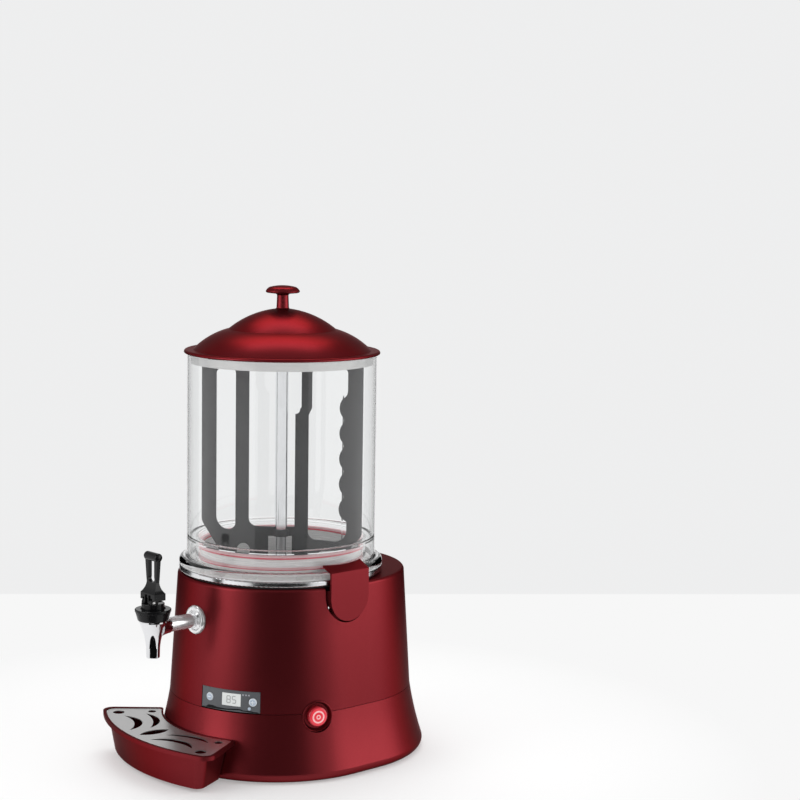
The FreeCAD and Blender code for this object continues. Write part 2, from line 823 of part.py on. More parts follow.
def pot_seals():
    keep("upper_seal", turned("upper_seal", [
        ("pot_radius", "upper_seal_z"), ("seal_outer", "upper_seal_z"),
        ("seal_outer", "upper_seal_high - 1.4"),
        ("seal_outer - 1.4", "upper_seal_high", "1.4"), ("pot_radius - pot_wall - 0.2", "upper_seal_high"),
        ("pot_radius - pot_wall - 1.4", "upper_seal_high - 1.2", "1.2"),
        ("pot_radius - pot_wall - 1.4", "upper_seal_z"), ("pot_radius - pot_wall", "upper_seal_z"),
        ("pot_radius - pot_wall", "pot_top"), ("pot_radius", "pot_top"),
    ]))
    keep("lower_seal", turned("lower_seal", [
        ("pot_radius", "lower_seal_z"), ("seal_outer - 0.8", "lower_seal_z"),
        ("seal_outer", "(lower_seal_z + lower_seal_high) / 2", "2.8"),
        ("seal_outer - 0.8", "lower_seal_high", "2.8"), ("pot_radius", "lower_seal_high"),
    ]))


def clear_bowl():
    web = "hoop_top - hoop_wall"
    inside = "bowl_radius - bowl_wall"
    keep("bowl", turned("bowl", [
        ("collar_inner", "collar_low"), ("collar_outer", "collar_low"),
        ("collar_outer", "bowl_floor - bowl_wall"),
        (inside, "bowl_floor - bowl_wall"), (inside, web), ("hoop_radius - hoop_wall", web),
        ("hoop_radius - hoop_wall", "hoop_low"), ("hoop_radius", "hoop_low"),
        ("hoop_radius", "hoop_top - hoop_round"), ("hoop_radius - hoop_round", "hoop_top", "hoop_round"),
        ("bowl_radius + bowl_cove", "hoop_top"), ("bowl_radius", "hoop_top + bowl_cove", "-bowl_cove"),
        ("bowl_radius", "bowl_top - 1"), ("bowl_radius - 1", "bowl_top", "1"), (inside, "bowl_top"),
        (inside, "bowl_floor + bowl_cove"), (f"{inside} - bowl_cove", "bowl_floor", "-bowl_cove"),
        ("collar_inner", "bowl_floor"),
    ]))


# ---------------------------------------------------------------- lid

def lid():
    under = "(bowl_top + lid_gap)"
    rim = f"({under} + rim_high)"
    crown = "(dome_z - 0.4)"
    dome = turned("dome_blank", [
        ("band_radius", under), ("rim_radius - 1.5", under), ("rim_radius", f"{under} + 1.5", "1.5"),
        ("rim_radius - 2.5", rim, "2.6"), ("rim_shelf", rim),
        ("step_radius", "step_z", "shoulder_arc"), ("knob_stem", crown, "dome_arc"), ("0", crown),
        ("0", f"{crown} - lid_wall"), ("knob_stem", f"{crown} - lid_wall"),
        ("step_radius - 0.4", "step_z - lid_wall", "-(dome_arc - lid_wall)"),
        ("rim_shelf - 1.6", f"{rim} - lid_wall", "-(shoulder_arc - lid_wall)"),
        ("band_radius", f"{rim} - lid_wall"),
    ])
    keep("lid_dome", cut("lid_dome", dome, rod("dome_screw_hole", "knob_screw", "12", z="dome_z - 6")))
    keep("lid_band", turned("lid_band", [
        ("band_radius - band_thick", "band_low"), ("band_radius", "band_low"),
        ("band_radius", f"{rim} - lid_wall"),
        ("band_radius - band_thick", f"{rim} - lid_wall"),
    ]))
    knob = turned("knob_blank", [
        ("0", crown), ("knob_stem + 1.2", crown), ("knob_stem", "dome_z + 1.6", "-2"),
        ("knob_stem - 0.6", "knob_low - 2"), ("knob_stem + 3", "knob_low", "-3.4"),
        ("knob_radius - 1.5", "knob_low + 1"), ("knob_radius", "knob_low + 3", "2"),
        ("knob_radius - 5", "knob_top - 2", "9"), ("0", "knob_top", "((knob_radius - 5)^2 + 4) / 4"),
    ])
    keep("lid_knob", cut("lid_knob", knob, rod("knob_screw_hole", "knob_screw", "12", z="dome_z - 2")))
    seat = f"({crown} - lid_wall)"
    keep("knob_screw", turned("knob_screw", [
        ("0", f"{seat} - 3"), ("knob_screw + 1.5", f"{seat} - 3"),
        ("knob_screw + 2.8", f"{seat} - 1.4", "1.8"),
        ("knob_screw + 2.8", seat), ("knob_screw", seat), ("knob_screw", "dome_z + 9"), ("0", "dome_z + 9.6"),
    ]))


# ---------------------------------------------------------------- drive and agitator

def centre_tube():
    keep("centre_tube", turned("centre_tube", [
        ("tube_bore", "tube_low"), ("tube_radius", "tube_low"), ("tube_radius", "tube_top"),
        ("tube_bore", "tube_top"),
    ]))
    bush = [
        turned(f"bush_{tag}", [
            ("shaft_radius + running_gap", low), ("tube_bore", low), ("tube_bore", f"{low} + bush_high"),
            ("shaft_radius + running_gap", f"{low} + bush_high"),
        ])
        for tag, low in (("low", "tube_low"), ("high", "(tube_top - bush_high)"))
    ]
    keep("shaft_bushes", group("shaft_bushes", bush))


def drive_shaft():
    shaft = turned("shaft_blank", [
        ("0", "shaft_low"), ("shaft_radius - 0.5", "shaft_low"), ("shaft_radius", "shaft_low + 0.5"),
        ("shaft_radius", "shaft_top - 0.5"), ("shaft_radius - 0.5", "shaft_top"), ("0", "shaft_top"),
    ])
    flat = block("shaft_flat", "10", "10", "20", x="-5", y="shaft_radius - 1", z="tube_top + 1")
    keep("drive_shaft", cut("drive_shaft", shaft, flat))


def agitator():
    keep("agitator_sleeve", turned("agitator_sleeve", [
        ("sleeve_bore", "sleeve_low"), ("sleeve_radius", "sleeve_low"), ("sleeve_radius", "sleeve_top"),
        ("sleeve_bore", "sleeve_top"),
    ]))
    cap = turned("cap_blank", [
        ("0", "sleeve_top"), ("cap_radius", "sleeve_top"), ("cap_radius", "cap_top - 3"),
        ("cap_radius - 3", "cap_top", "3"), ("0", "cap_top"),
    ])
    socket = rod("cap_socket", "shaft_radius", "shaft_top - sleeve_top", z="sleeve_top")
    key = block("cap_key", "10", "10", "shaft_top - sleeve_top", x="-5", y="shaft_radius - 1", z="sleeve_top")
    keep("agitator_cap", cut("agitator_cap", cap, cut("cap_socket_keyed", socket, key)))
    paddle()


def paddle():
    body = new_body("paddle_blank", turn="paddle_turn")
    half = "paddle_thick / 2"
    add(body, "Pad", "XZ", [
        ("-paddle_left + 8", "paddle_top"), ("-paddle_left", "paddle_top - 8", "8"),
        ("-paddle_left", "293"), ("-paddle_left + 2", "286", "14"), ("-78", "256"), ("-76", "250", "-12"),
        ("-76", "paddle_foot + 14"), ("-62", "paddle_foot", "14"), ("paddle_pot - 18", "paddle_foot"),
        ("paddle_pot", "paddle_foot + 18", "18"), ("paddle_pot", "247"), ("paddle_pot + 3.5", "256.5", "-18"),
        ("paddle_right - 3.5", "265.8"), ("paddle_right", "274", "12"),
        ("paddle_right", "paddle_top - 8"), ("paddle_right - 8", "paddle_top", "8"),
    ], offset=f"-({half})", Length="paddle_thick")
    windows(body)
    hub = turned("hub_ring", [
        ("tube_radius + 0.35", "hub_low"), ("hub_radius", "hub_low"), ("hub_radius", "sleeve_low + 1.6"),
        ("sleeve_radius", "sleeve_low + 1.6"), ("sleeve_radius", "sleeve_low"),
        ("tube_radius + 0.35", "sleeve_low"),
    ])
    core = rod("hub_clearance", "tube_radius + 0.35", "sleeve_low - 160", z="160")
    upper = rod("sleeve_clearance", "sleeve_radius", "300", z="sleeve_low")
    cap_room = rod("cap_clearance", "cap_radius", "30", z="sleeve_top")
    plate = cut("paddle_plate", body, fuse("paddle_cores", [core, upper, cap_room]))
    keep("agitator_paddle", fuse("agitator_paddle", [plate, hub]))


def windows(body):
    """The openings that leave the paddle's bars."""
    top = "paddle_top - paddle_bar"
    depth = {"Type": 1}
    left = [
        ("-80", "296"), ("-70", "279", "18"), ("-64", "278"), ("-56.5", "285", "8"), ("-56.5", f"{top} - 6"),
        ("-62.5", top, "6"), ("-74", top), ("-80", f"{top} - 6", "6"),
    ]
    centre = [
        ("-40", "292"), ("-30", "282", "10"), ("-12", "281"), ("12", "281"), ("16.5", "281"),
        ("16.5", "422"), ("22", "426", "5"), ("24", "430", "-5"), ("24", f"{top} - 5"), ("19", top, "5"),
        ("-35", top), ("-40", f"{top} - 5", "5"),
    ]
    add(body, "Pocket", "XZ", left, **depth, Midplane=True)
    add(body, "Pocket", "XZ", centre, **depth, Midplane=True)
    right = [("33.2", "276"), ("42", "265", "10.5"), ("67", "262.8"), ("80.6", "277", "14.5")]
    right += [("80.6", "wave_top - 5 * wave_pitch")]
    for i in range(4, -1, -1):
        crest = f"wave_top - {i + 0.5} * wave_pitch"
        dip = ["wave_dip"] if i < 4 else []
        right += [
            ("wave_valley", f"{crest} - 0.36 * wave_pitch", *dip),
            ("wave_crest", crest, "-wave_bulge"),
            ("wave_valley", f"{crest} + 0.36 * wave_pitch", "-wave_bulge"),
        ]
    right += [
        ("81", "wave_top + 6", "11.6"), ("81", f"{top} - 6"), ("75", top, "6"), ("43", top),
        ("37", f"{top} - 6", "6"), ("37", "430"), ("33", "421"),
    ]
    add(body, "Pocket", "XZ", right, **depth, Midplane=True)
    low = "paddle_foot + 14"
    lower_left = [
        ("-54.6", low), ("-38.6", low), ("-38.6", "253"), ("-46.6", "261", "8"), ("-54.6", "253", "8"),
    ]
    lower_right = [("44", low), ("72", low), ("72", "244"), ("64", "252", "8"), ("52", "252"),
                   ("44", "244", "8")]
    under_hub = [("-15.8", low), ("13.4", low), ("13.4", "270"), ("-15.8", "270")]
    for corners in (lower_left, lower_right, under_hub):
        add(body, "Pocket", "XZ", corners, **depth, Midplane=True)


def drive():
    box = block("gearbox_box", "gearbox_width", "gearbox_width", "gearbox_high - gearbox_low",
                x="-gearbox_width / 2", y="-gearbox_width / 2 + motor_shift", z="gearbox_low")
    ribbed = doc.addObject("Part::Fillet", "gearbox_round")
    ribbed.Base = box
    doc.recompute()
    upright = [i + 1 for i, e in enumerate(box.Shape.Edges) if abs(e.tangentAt(e.FirstParameter).z) > 0.9]
    ribbed.Edges = [(i, 6, 6) for i in upright]
    doc.recompute()
    keep("gearbox", cut("gearbox", ribbed, rod("gearbox_bore", "shaft_radius + running_gap", "30",
                                               z="gearbox_high - 20")))
    keep("gear_motor", turned("gear_motor", [
        ("0", "motor_low - 3"), ("8", "motor_low - 3"), ("8", "motor_low"), ("motor_radius - 2", "motor_low"),
        ("motor_radius", "motor_low + 2", "2"), ("motor_radius", "gearbox_low"), ("0", "gearbox_low"),
    ], y="motor_shift"))
    motor_bracket()
    heater()


def motor_bracket():
    plate = block("bracket_plate", "bracket_width", "bracket_width", "bracket_thick", x="-bracket_width / 2",
                  y="-bracket_width / 2 + motor_shift", z="bracket_low")
    posts = [
        rod(f"bracket_post_{i}", "4", "jacket_low - bracket_low", x=f"{x} * (bracket_width / 2 - 7)",
            y=f"{y} * (bracket_width / 2 - 7) + motor_shift", z="bracket_low")
        for i, (x, y) in enumerate(((1, 1), (1, -1), (-1, 1), (-1, -1)))
    ]
    solid = fuse("bracket_solid", [plate] + posts)
    keep("motor_bracket", cut("motor_bracket", solid, rod("bracket_bore", "9", "20", z="bracket_low - 5")))


def heater():
    ring = new_body("heater_ring", z="heater_z")
    sketch = new_sketch(ring, "XZ")
    circle(sketch, "heater_radius", "0", "heater_tube")
    feature(ring, "Revolution", sketch, Angle=340)
    legs = [
        rod("heater_leg", "heater_tube", "heater_z - jacket_low + 14", x="heater_radius",
            z="jacket_low - 14"),
        rod("heater_leg_far", "heater_tube", "heater_z - jacket_low + 14", x="heater_radius * cos(20)",
            y="heater_radius * sin(-20)", z="jacket_low - 14"),
    ]
    keep("heating_element", fuse("heating_element", [ring] + legs))
    keep("thermostat_probe", turned("thermostat_probe", [
        ("0", "jacket_low - 12"), ("probe_radius + 3", "jacket_low - 12"), ("probe_radius + 3", "jacket_low"),
        ("probe_radius", "jacket_low"), ("probe_radius", "jacket_low + 14"),
        ("0", "jacket_low + 14 + probe_radius", "probe_radius"),
    ], x="probe_x", y="probe_y"))


# ---------------------------------------------------------------- tap

def tap_shank():
    shank = new_body("shank_blank", z="spout_z")
    add(shank, "Revolution", "YZ", [
        ("-97", "shank_bore"), ("-97", "shank_radius"), ("-(tap_reach - tap_rim + 4)", "shank_radius"),
        ("-(tap_reach - tap_rim + 4)", "shank_bore"),
    ], axis="H_Axis")
    keep("tap_shank", shank)
    washer = new_body("shank_washer", z="spout_z")
    add(washer, "Revolution", "YZ", [
        ("-(jacket_radius + 0.1)", "shank_radius"), ("-(jacket_radius + 0.1)", "shank_radius + 5"),
        ("-(jacket_radius + 2.1)", "shank_radius + 5"), ("-(jacket_radius + 2.1)", "shank_radius"),
    ], axis="H_Axis")
    keep("shank_washer", washer)
    nut = new_body("shank_nut", z="spout_z")
    across = "(shank_radius + 5)"
    sketch = new_sketch(nut, "XZ", offset="jacket_radius + 2.1")
    outline(sketch, [(f"{across} * cos({60 * i})", f"{across} * sin({60 * i})") for i in range(6)])
    circle(sketch, "0", "0", "shank_radius")
    feature(nut, "Pad", sketch, Length="6")
    keep("shank_nut", nut)
    out = "(seam_radius - lean * (spout_z - seam_z))"
    rose = "escutcheon_radius"
    dome = radial("rose_blank", [
        (f"{out} - 1.4", "shank_radius"), (f"{out} - 1.4", rose), (f"{out} + 0.4", rose),
        (f"{out} + 0.4 + rose_bead", f"{rose} - rose_bead", "rose_bead"),
        (f"{out} + 0.4 + rose_bead * cos(55)", f"{rose} - rose_bead * (1 + sin(55))", "rose_bead"),
        (f"{out} + 3.6", "shank_radius"),
    ], "0", "spout_z")
    seat = turned("rose_seat", [
        ("0", "spout_z - 30"), (casing_at("spout_z - 30", "-0.05"), "spout_z - 30"),
        (casing_at("spout_z + 30", "-0.05"), "spout_z + 30"), ("0", "spout_z + 30"),
    ], y="casing_y")
    keep("tap_escutcheon", cut("tap_escutcheon", dome, seat))


def tap_body():
    barrel = turned("tap_barrel", [
        ("nozzle_bore", "nozzle_low"), ("nozzle_radius - 0.6", "nozzle_low"),
        ("nozzle_radius", "nozzle_low + 0.8", "0.9"), ("nozzle_radius + 0.3", "cone_low"),
        ("tap_rim", "cone_high", "-cone_arc"), ("tap_rim", "tap_top"),
        ("tap_rim - 2.2", "tap_top"), ("tap_rim - 2.2", "cone_high"),
        ("plug_radius + 0.8", "seat_z + 3", "cone_arc"), ("nozzle_bore", "seat_z"),
    ], y="-tap_reach")
    socket = new_body("tap_socket", z="spout_z")
    add(socket, "Revolution", "YZ", [
        ("-(tap_reach - 8)", "0"), ("-(tap_reach - 8)", "shank_radius + 3.6"),
        ("-(tap_reach - 22)", "shank_radius + 1", "60"), ("-(tap_reach - 22)", "0"),
    ], axis="H_Axis")
    trimmed = cut("tap_socket_low", socket, block("socket_trim", "40", "20", "10", x="-20",
                                                  y="-tap_reach + 8",
                                                  z="collar_z - 0.4"))
    chamber = turned("tap_chamber", [
        ("0", "nozzle_low - 1"), ("nozzle_bore", "nozzle_low - 1"), ("nozzle_bore", "seat_z"),
        ("plug_radius + 0.8", "seat_z + 3"), ("tap_rim - 2.2", "cone_high", "-cone_arc"),
        ("tap_rim - 2.2", "tap_top + 1"), ("0", "tap_top + 1"),
    ], y="-tap_reach")
    bore = rod("tap_socket_bore", "shank_radius", "tap_rim", y="-tap_reach + tap_rim - 4", z="spout_z",
               along="Y")
    way = rod("tap_waterway", "shank_bore", "tap_rim", y="-tap_reach + 4", z="spout_z", along="Y")
    keep("tap_body", cut("tap_body", fuse("tap_outer", [barrel, trimmed]),
                         fuse("tap_ways", [chamber, bore, way])))


def tap_collar():
    body = turned("tap_collar", [
        ("tap_rim + running_gap", "collar_z"), ("collar_narrow - 0.8", "collar_z"),
        ("collar_narrow", "collar_z + 0.8"),
        ("collar_wide - 0.6", "collar_high - 3.6"), ("collar_wide", "collar_high - 3", "0.8"),
        ("collar_wide", "collar_high - 1"), ("collar_wide - 1", "collar_high", "1"),
        ("bonnet_radius + 1.5", "collar_high"), ("bonnet_radius + 0.1", "collar_high - 1.5"),
        ("bonnet_radius + 0.1", "tap_top + 2.5"), ("tap_rim + running_gap", "tap_top + 2.5"),
    ], y="-tap_reach")
    sketch = new_sketch(body, "XY", offset="collar_z - 1")
    circle(sketch, "collar_wide + 0.4", "0", "1.7")
    flute = feature(body, "Pocket", sketch, Length="collar_high - collar_z - 2.5", Reversed=True)
    pattern(body, flute, "grip_count")
    keep("tap_collar", body)


def tap_bonnet():
    body = turned("bonnet_blank", [
        ("plug_radius", "tap_top"), ("tap_rim - 0.3", "tap_top"), ("tap_rim - 0.3", "tap_top + 2.4"),
        ("bonnet_radius", "tap_top + 2.4"), ("bonnet_radius", "bonnet_top - 1"),
        ("bonnet_radius - 1", "bonnet_top", "1"), ("0", "bonnet_top"), ("0", "roof_z + 3.5"),
        ("stem_rod + running_gap", "roof_z + 3.5"), ("stem_rod + running_gap", "roof_z"),
        ("plug_radius", "roof_z"),
    ], y="-tap_reach")
    ears = []
    for tag, side in (("right", "1"), ("left", "-1")):
        ear = new_body(f"ear_{tag}", x=f"{side} * 6.7", y="-tap_reach - pivot_y", z="pivot_z")
        sketch = new_sketch(ear, "YZ")
        outline(sketch, [("-5", "-3"), ("5", "-3"), ("5", "0"), ("0", "5", "5"), ("-5", "0", "5")])
        feature(ear, "Pad", sketch, Length="4.6", Midplane=True)
        ears.append(ear)
    slot_cut = block("bonnet_slot", "8.8", "24", "12", x="-4.4", y="-tap_reach - 12", z="roof_z + 3.5")
    hole = rod("bonnet_pin_hole", "pivot_radius", "30", x="-15", y="-tap_reach - pivot_y", z="pivot_z",
               along="X")
    keep("tap_bonnet", cut("tap_bonnet", fuse("bonnet_eared", [body] + ears),
                           fuse("bonnet_tools", [slot_cut, hole])))


def tap_stem():
    rod_part = turned("stem_rod_blank", [
        ("0", "seat_z + 8"), ("stem_rod", "seat_z + 8"), ("stem_rod", "roof_z + 4.5"), ("0", "roof_z + 4.5"),
    ], y="-tap_reach")
    blade = block("stem_blade", "3.4", "2 * stem_rod", "8.6", x="-1.7", y="-tap_reach - stem_rod",
                  z="roof_z + 3.8")
    pin_hole = rod("stem_link_hole", "link_radius", "12", x="-6", y="-tap_reach", z="pivot_z", along="X")
    keep("tap_stem", cut("tap_stem", fuse("stem_joined", [rod_part, blade]), pin_hole))
    keep("stem_link_pin", rod("stem_link_pin", "link_radius", "8", x="-4", y="-tap_reach", z="pivot_z",
                              along="X"))
    keep("tap_plug", turned("tap_plug", [
        ("0", "seat_z + 0.6"), ("nozzle_bore - 1", "seat_z + 0.6"), ("plug_radius - 0.4", "seat_z + 3.6"),
        ("plug_radius - 0.4", "seat_z + 9"), ("stem_rod", "seat_z + 9"), ("stem_rod", "seat_z + 8"),
        ("0", "seat_z + 8"),
    ], y="-tap_reach"))
    keep("lever_pin", rod("lever_pin", "pivot_radius", "18", x="-9", y="-tap_reach - pivot_y", z="pivot_z",
                          along="X"))


def tap_spring():
    """A compression spring between the plug's top and the bonnet's roof."""
    radius = value("stem_rod + 3")
    wire = value("spring_wire")
    low = value("seat_z + 9") + wire
    high = value("roof_z") - wire
    pitch = (high - low) / value("spring_turns")
    helix = Part.makeHelix(pitch, high - low, radius)
    section = Part.Wire([Part.makeCircle(wire, FreeCAD.Vector(radius, 0, 0), FreeCAD.Vector(0, 1, 0))])
    coil = Part.Wire(helix).makePipeShell([section], True, True)
    spring = doc.addObject("Part::Feature", "tap_spring")
    spring.Shape = coil
    place(spring, y="-tap_reach", z=str(low))
    keep("tap_spring", spring)


def tap_lever():
    half = "lever_width / 2"
    body = new_body("lever_front", y="-tap_reach")
    neck = "loop_width / 2"
    inner = "(loop_width / 2 - loop_bar)"
    add(body, "Pad", "XZ", [
        (f"-({half})", "lever_low"), (half, "lever_low"), (half, "lever_shoulder"),
        ("9.4", "lever_neck", "-24"), (neck, "grip_z"), (f"-({neck})", "grip_z"),
        ("-9.4", "lever_neck"), (f"-({half})", "lever_shoulder", "-24"),
    ], Length="lever_depth", Midplane=True)
    add(body, "Pocket", "XZ", [
        (f"-({inner})", "lever_neck + 6"), (f"-({inner}) + 3.4", "lever_neck", "4"),
        (f"{inner} - 3.4", "lever_neck"), (inner, "lever_neck + 6", "4"),
        (inner, "grip_z + 1"), (f"-({inner})", "grip_z + 1"),
    ], Type=1, Midplane=True)
    side = new_body("lever_side", y="-tap_reach")
    deep = "lever_depth / 2"
    slim = "loop_depth / 2"
    add(side, "Pad", "YZ", [
        (f"-({deep})", "lever_low"), (deep, "lever_low"), (deep, "lever_shoulder"),
        (slim, "lever_neck + 3", "-20"), (slim, "grip_z + 6"), (f"-({slim})", "grip_z + 6"),
        (f"-({slim})", "lever_neck + 3"), (f"-({deep})", "lever_shoulder", "-20"),
    ], Length="lever_width + 4", Midplane=True)
    grip = new_body("lever_grip", y="-tap_reach", z="grip_z")
    end = "grip_length / 2"
    add(grip, "Revolution", "XZ", [
        (f"-({end})", "0", "8"), (end, "0"), (f"{end} - 1.6", "grip_radius - 0.4", "8"),
        (f"{end} - 2.6", "grip_radius"), (f"-({end}) + 2.6", "grip_radius"),
        (f"-({end}) + 1.6", "grip_radius - 0.4"),
    ], axis="H_Axis")
    room = rod("ear_room", "6.6", "19", x="-9.5", y="-tap_reach - pivot_y", z="pivot_z", along="X")
    stem_room = block("stem_room", "9", "13", "9", x="-4.5", y="-tap_reach - 3.2", z="lever_low - 1")
    shell = cut("lever_roomed", fuse("lever_outer", [common("lever_core", body, side), grip]),
                fuse("lever_rooms", [room, stem_room]))
    prongs = []
    for tag, x in (("right", "stem_rod + 0.3"), ("left", "-(stem_rod + 0.3 + prong_thick)")):
        prong = new_body(f"prong_{tag}", x=x, y="-tap_reach - pivot_y", z="pivot_z")
        sketch = new_sketch(prong, "YZ")
        outline(sketch, [
            ("-4.6", "0"), ("0", "-4.6", "4.6"), ("8.4", "-3.4"), ("9.6", "-2.2", "1.2"), ("9.6", "12"),
            ("-4.6", "9"),
        ])
        circle(sketch, "0", "0", "pivot_radius + running_gap")
        feature(prong, "Pad", sketch, Length="prong_thick")
        slit = new_sketch(prong, "YZ")
        wide = "(link_radius + 0.45)"
        outline(slit, [
            ("4.6", f"-{wide}", wide), ("6.9", f"-{wide}"), (f"6.9 + {wide}", "0", wide), ("6.9", wide, wide),
            ("4.6", wide), (f"4.6 - {wide}", "0", wide),
        ])
        feature(prong, "Pocket", slit, Length="4", Reversed=True)
        prongs.append(prong)
    keep("tap_lever", fuse("tap_lever", [shell] + prongs))


# ---------------------------------------------------------------- latches

def pin_rods(label):
    return [
        rod(f"{label}_{tag}", "latch_pin", "latch_front + latch_rear", x=f"{side} * latch_pin_x",
            y="-latch_front", z="latch_pin_z", along="Y")
        for tag, side in (("right", "1"), ("left", "-1"))
    ]


def latches():
    for tag, side in (("right", 1), ("left", -1)):
        latch(tag, side)
    keep("latch_pins", group("latch_pins", pin_rods("latch_pin")))


def latch(tag, side):
    """A hollow moulded hook: a face plate, two cheeks and a sloping top that holds the bowl's foot."""
    s = "" if side > 0 else "-"
    whole = new_body(f"latch_profile_{tag}")
    add(whole, "Pad", "XZ", [
        (f"{s}latch_face", "latch_low - 2"), (f"{s}latch_face", "latch_hook_low"),
        (f"{s}latch_hook_x", "latch_hook_high"), (f"{s}latch_hook_x", "latch_hook_high - 2.6"),
        (f"{s}(latch_face - latch_wall - 0.4)", "latch_hook_low - 1"),
        (f"{s}(latch_face - latch_wall - 0.4)", "deck_z - 3"), (f"{s}(latch_pin_x - 4)", "deck_z - 5"),
        (f"{s}(latch_pin_x - 4)", "latch_low - 2"),
    ], offset="-latch_rear", Length="latch_front + latch_rear")
    outer = common(f"latch_outer_{tag}", whole,
                   latch_block(f"latch_shape_{tag}", side, "latch_hook_x - 2", "latch_face + 1", "0"))
    hollow = new_body(f"latch_hollow_{tag}")
    add(hollow, "Pad", "XZ", [
        (f"{s}(latch_face - latch_wall)", "latch_low - 4"), (f"{s}(latch_face - latch_wall)", "deck_z - 8"),
        (f"{s}(latch_pin_x - 6)", "deck_z - 8"), (f"{s}(latch_pin_x - 6)", "latch_low - 4"),
    ], offset="-(latch_rear - latch_cheek)", Length="latch_front + latch_rear - 2 * latch_cheek")
    tools = fuse(f"latch_tools_{tag}", [
        hollow,
        rod(f"latch_bowl_room_{tag}", "bowl_radius + 0.8", "60", z="hoop_top - 20"),
    ])
    knuckle = new_body(f"latch_knuckle_{tag}")
    turn = f"{s}latch_lug"
    back = f"{s}(latch_face - latch_wall + 0.5)"
    add(knuckle, "Pad", "XZ", [
        (f"{s}latch_pin_x", "latch_pin_z - latch_lug", turn), (back, "latch_pin_z - latch_lug"),
        (back, "latch_pin_z + latch_lug"), (f"{s}latch_pin_x", "latch_pin_z + latch_lug"),
        (f"{s}(latch_pin_x - latch_lug)", "latch_pin_z", turn),
    ], offset="-(latch_rear - 14.5)", Length="latch_front + latch_rear - 29")
    bore = rod(f"latch_bore_{tag}", "latch_pin + running_gap", "80",
               x=f"{'1' if side > 0 else '-1'} * latch_pin_x",
               y="-latch_front - 5", z="latch_pin_z", along="Y")
    shell = fuse(f"latch_shell_{tag}", [cut(f"latch_hollowed_{tag}", outer, tools), knuckle])
    keep(f"latch_{tag}", cut(f"latch_{tag}", shell, bore))


# ---------------------------------------------------------------- controls

def panel_plate(label, start, end, low, high, inset, thick):
    """A plate bent to the casing's round, between two angles from the tap."""
    body = new_body(label, y="casing_y")
    add(body, "Revolution", "XZ", [
        (casing_at(low, f"{inset} + {thick}"), low), (casing_at(low, inset), low),
        (casing_at(high, inset), high), (casing_at(high, f"{inset} + {thick}"), high),
    ], Angle=f"{end} - {start}")
    turn_front(body, start)
    return body


KEYS = {
    "minus_button": ("minus_at", "minus_z", "key_radius"),
    "plus_button": ("plus_at", "plus_z", "key_radius"),
    "set_button": ("set_at", "set_z", "set_radius"),
}


def controls():
    face = panel_plate("panel_face", "(panel_from + 0.15)", "(panel_to - 0.15)", "panel_low", "panel_high",
                       "panel_inset", "panel_thick")
    flange = panel_plate("panel_flange", "(panel_from - 1.4)", "(panel_to + 1.4)", "panel_low",
                         "(panel_high + 3)",
                         "wall + 0.05", "1.4")
    filler = panel_plate("panel_core", "(panel_from + 0.15)", "(panel_to - 0.15)", "panel_low", "panel_high",
                         "(panel_inset + panel_thick - 0.1)", "1.5")
    holes = [
        panel_plate("window_hole", "window_from", "window_to", "window_low", "window_high", "-2", "12"),
    ]
    for name, (at, z, radius) in KEYS.items():
        holes.append(radial(name + "_hole", [
            ("100", "0"), ("150", "0"), ("150", f"{radius} + 0.3"), ("100", f"{radius} + 0.3"),
        ], at, z))
    lamps = []
    for i in range(3):
        at = f"lamp_from + {i} * lamp_pitch"
        out = casing_at("lamp_z", "panel_inset")
        holes.append(radial(f"lamp_hole_{i}", [
            ("100", "0"), ("150", "0"), ("150", "lamp_radius"), ("100", "lamp_radius"),
        ], at, "lamp_z"))
        lamps.append(radial(f"lamp_{i}", [
            (f"{out} - 5", "0"), (f"{out} + 0.3", "0"), (f"{out} - 0.1", "lamp_radius"),
            (f"{out} - 5", "lamp_radius"),
        ], at, "lamp_z"))
    keep("control_panel", cut("control_panel", fuse("panel_blank", [face, filler, flange]),
                              fuse("panel_holes", holes)))
    keep("indicator_lights", group("indicator_lights", lamps))
    keep("display_window", panel_plate("display_window", "window_from", "window_to", "window_low",
                                       "window_high",
                                       "(panel_inset + 0.2)", "2.2"))
    for name, (at, z, radius) in KEYS.items():
        out = casing_at(z, "panel_inset")
        keep(name, radial(name, [
            (f"{out} - 5.8", "0"), (f"{out} + 1.4", "0"), (f"{out} + 1", f"{radius} - 0.8"),
            (f"{out} + 0.2", radius, "-1"), (f"{out} - 4.6", radius), (f"{out} - 4.6", f"{radius} + 0.8"),
            (f"{out} - 5.8", f"{radius} + 0.8"),
        ], at, z))
    control_board()


def control_board():
    """The printed board behind the panel, with a switch under each key."""
    middle = "(panel_from + panel_to) / 2"
    board = new_body("board_plate", y="casing_y", turn=middle)
    deep = "(seam_radius - 20)"
    add(board, "Pad", "XZ", [
        ("-33", "84"), ("33", "84"), ("33", "105"), ("-33", "105"),
    ], offset=deep, Length="1.6")
    pieces = [board]
    for name, (at, z, radius) in KEYS.items():
        out = casing_at(z, "panel_inset + 6.7")
        pieces.append(radial(name + "_switch", [
            ("seam_radius - 22", "0"), (out, "0"), (out, "1.6"), (f"{out} - 2", "1.6"),
            (f"{out} - 2", "3"), ("seam_radius - 22", "3"),
        ], at, z))
    keep("control_board", fuse("control_board", pieces))


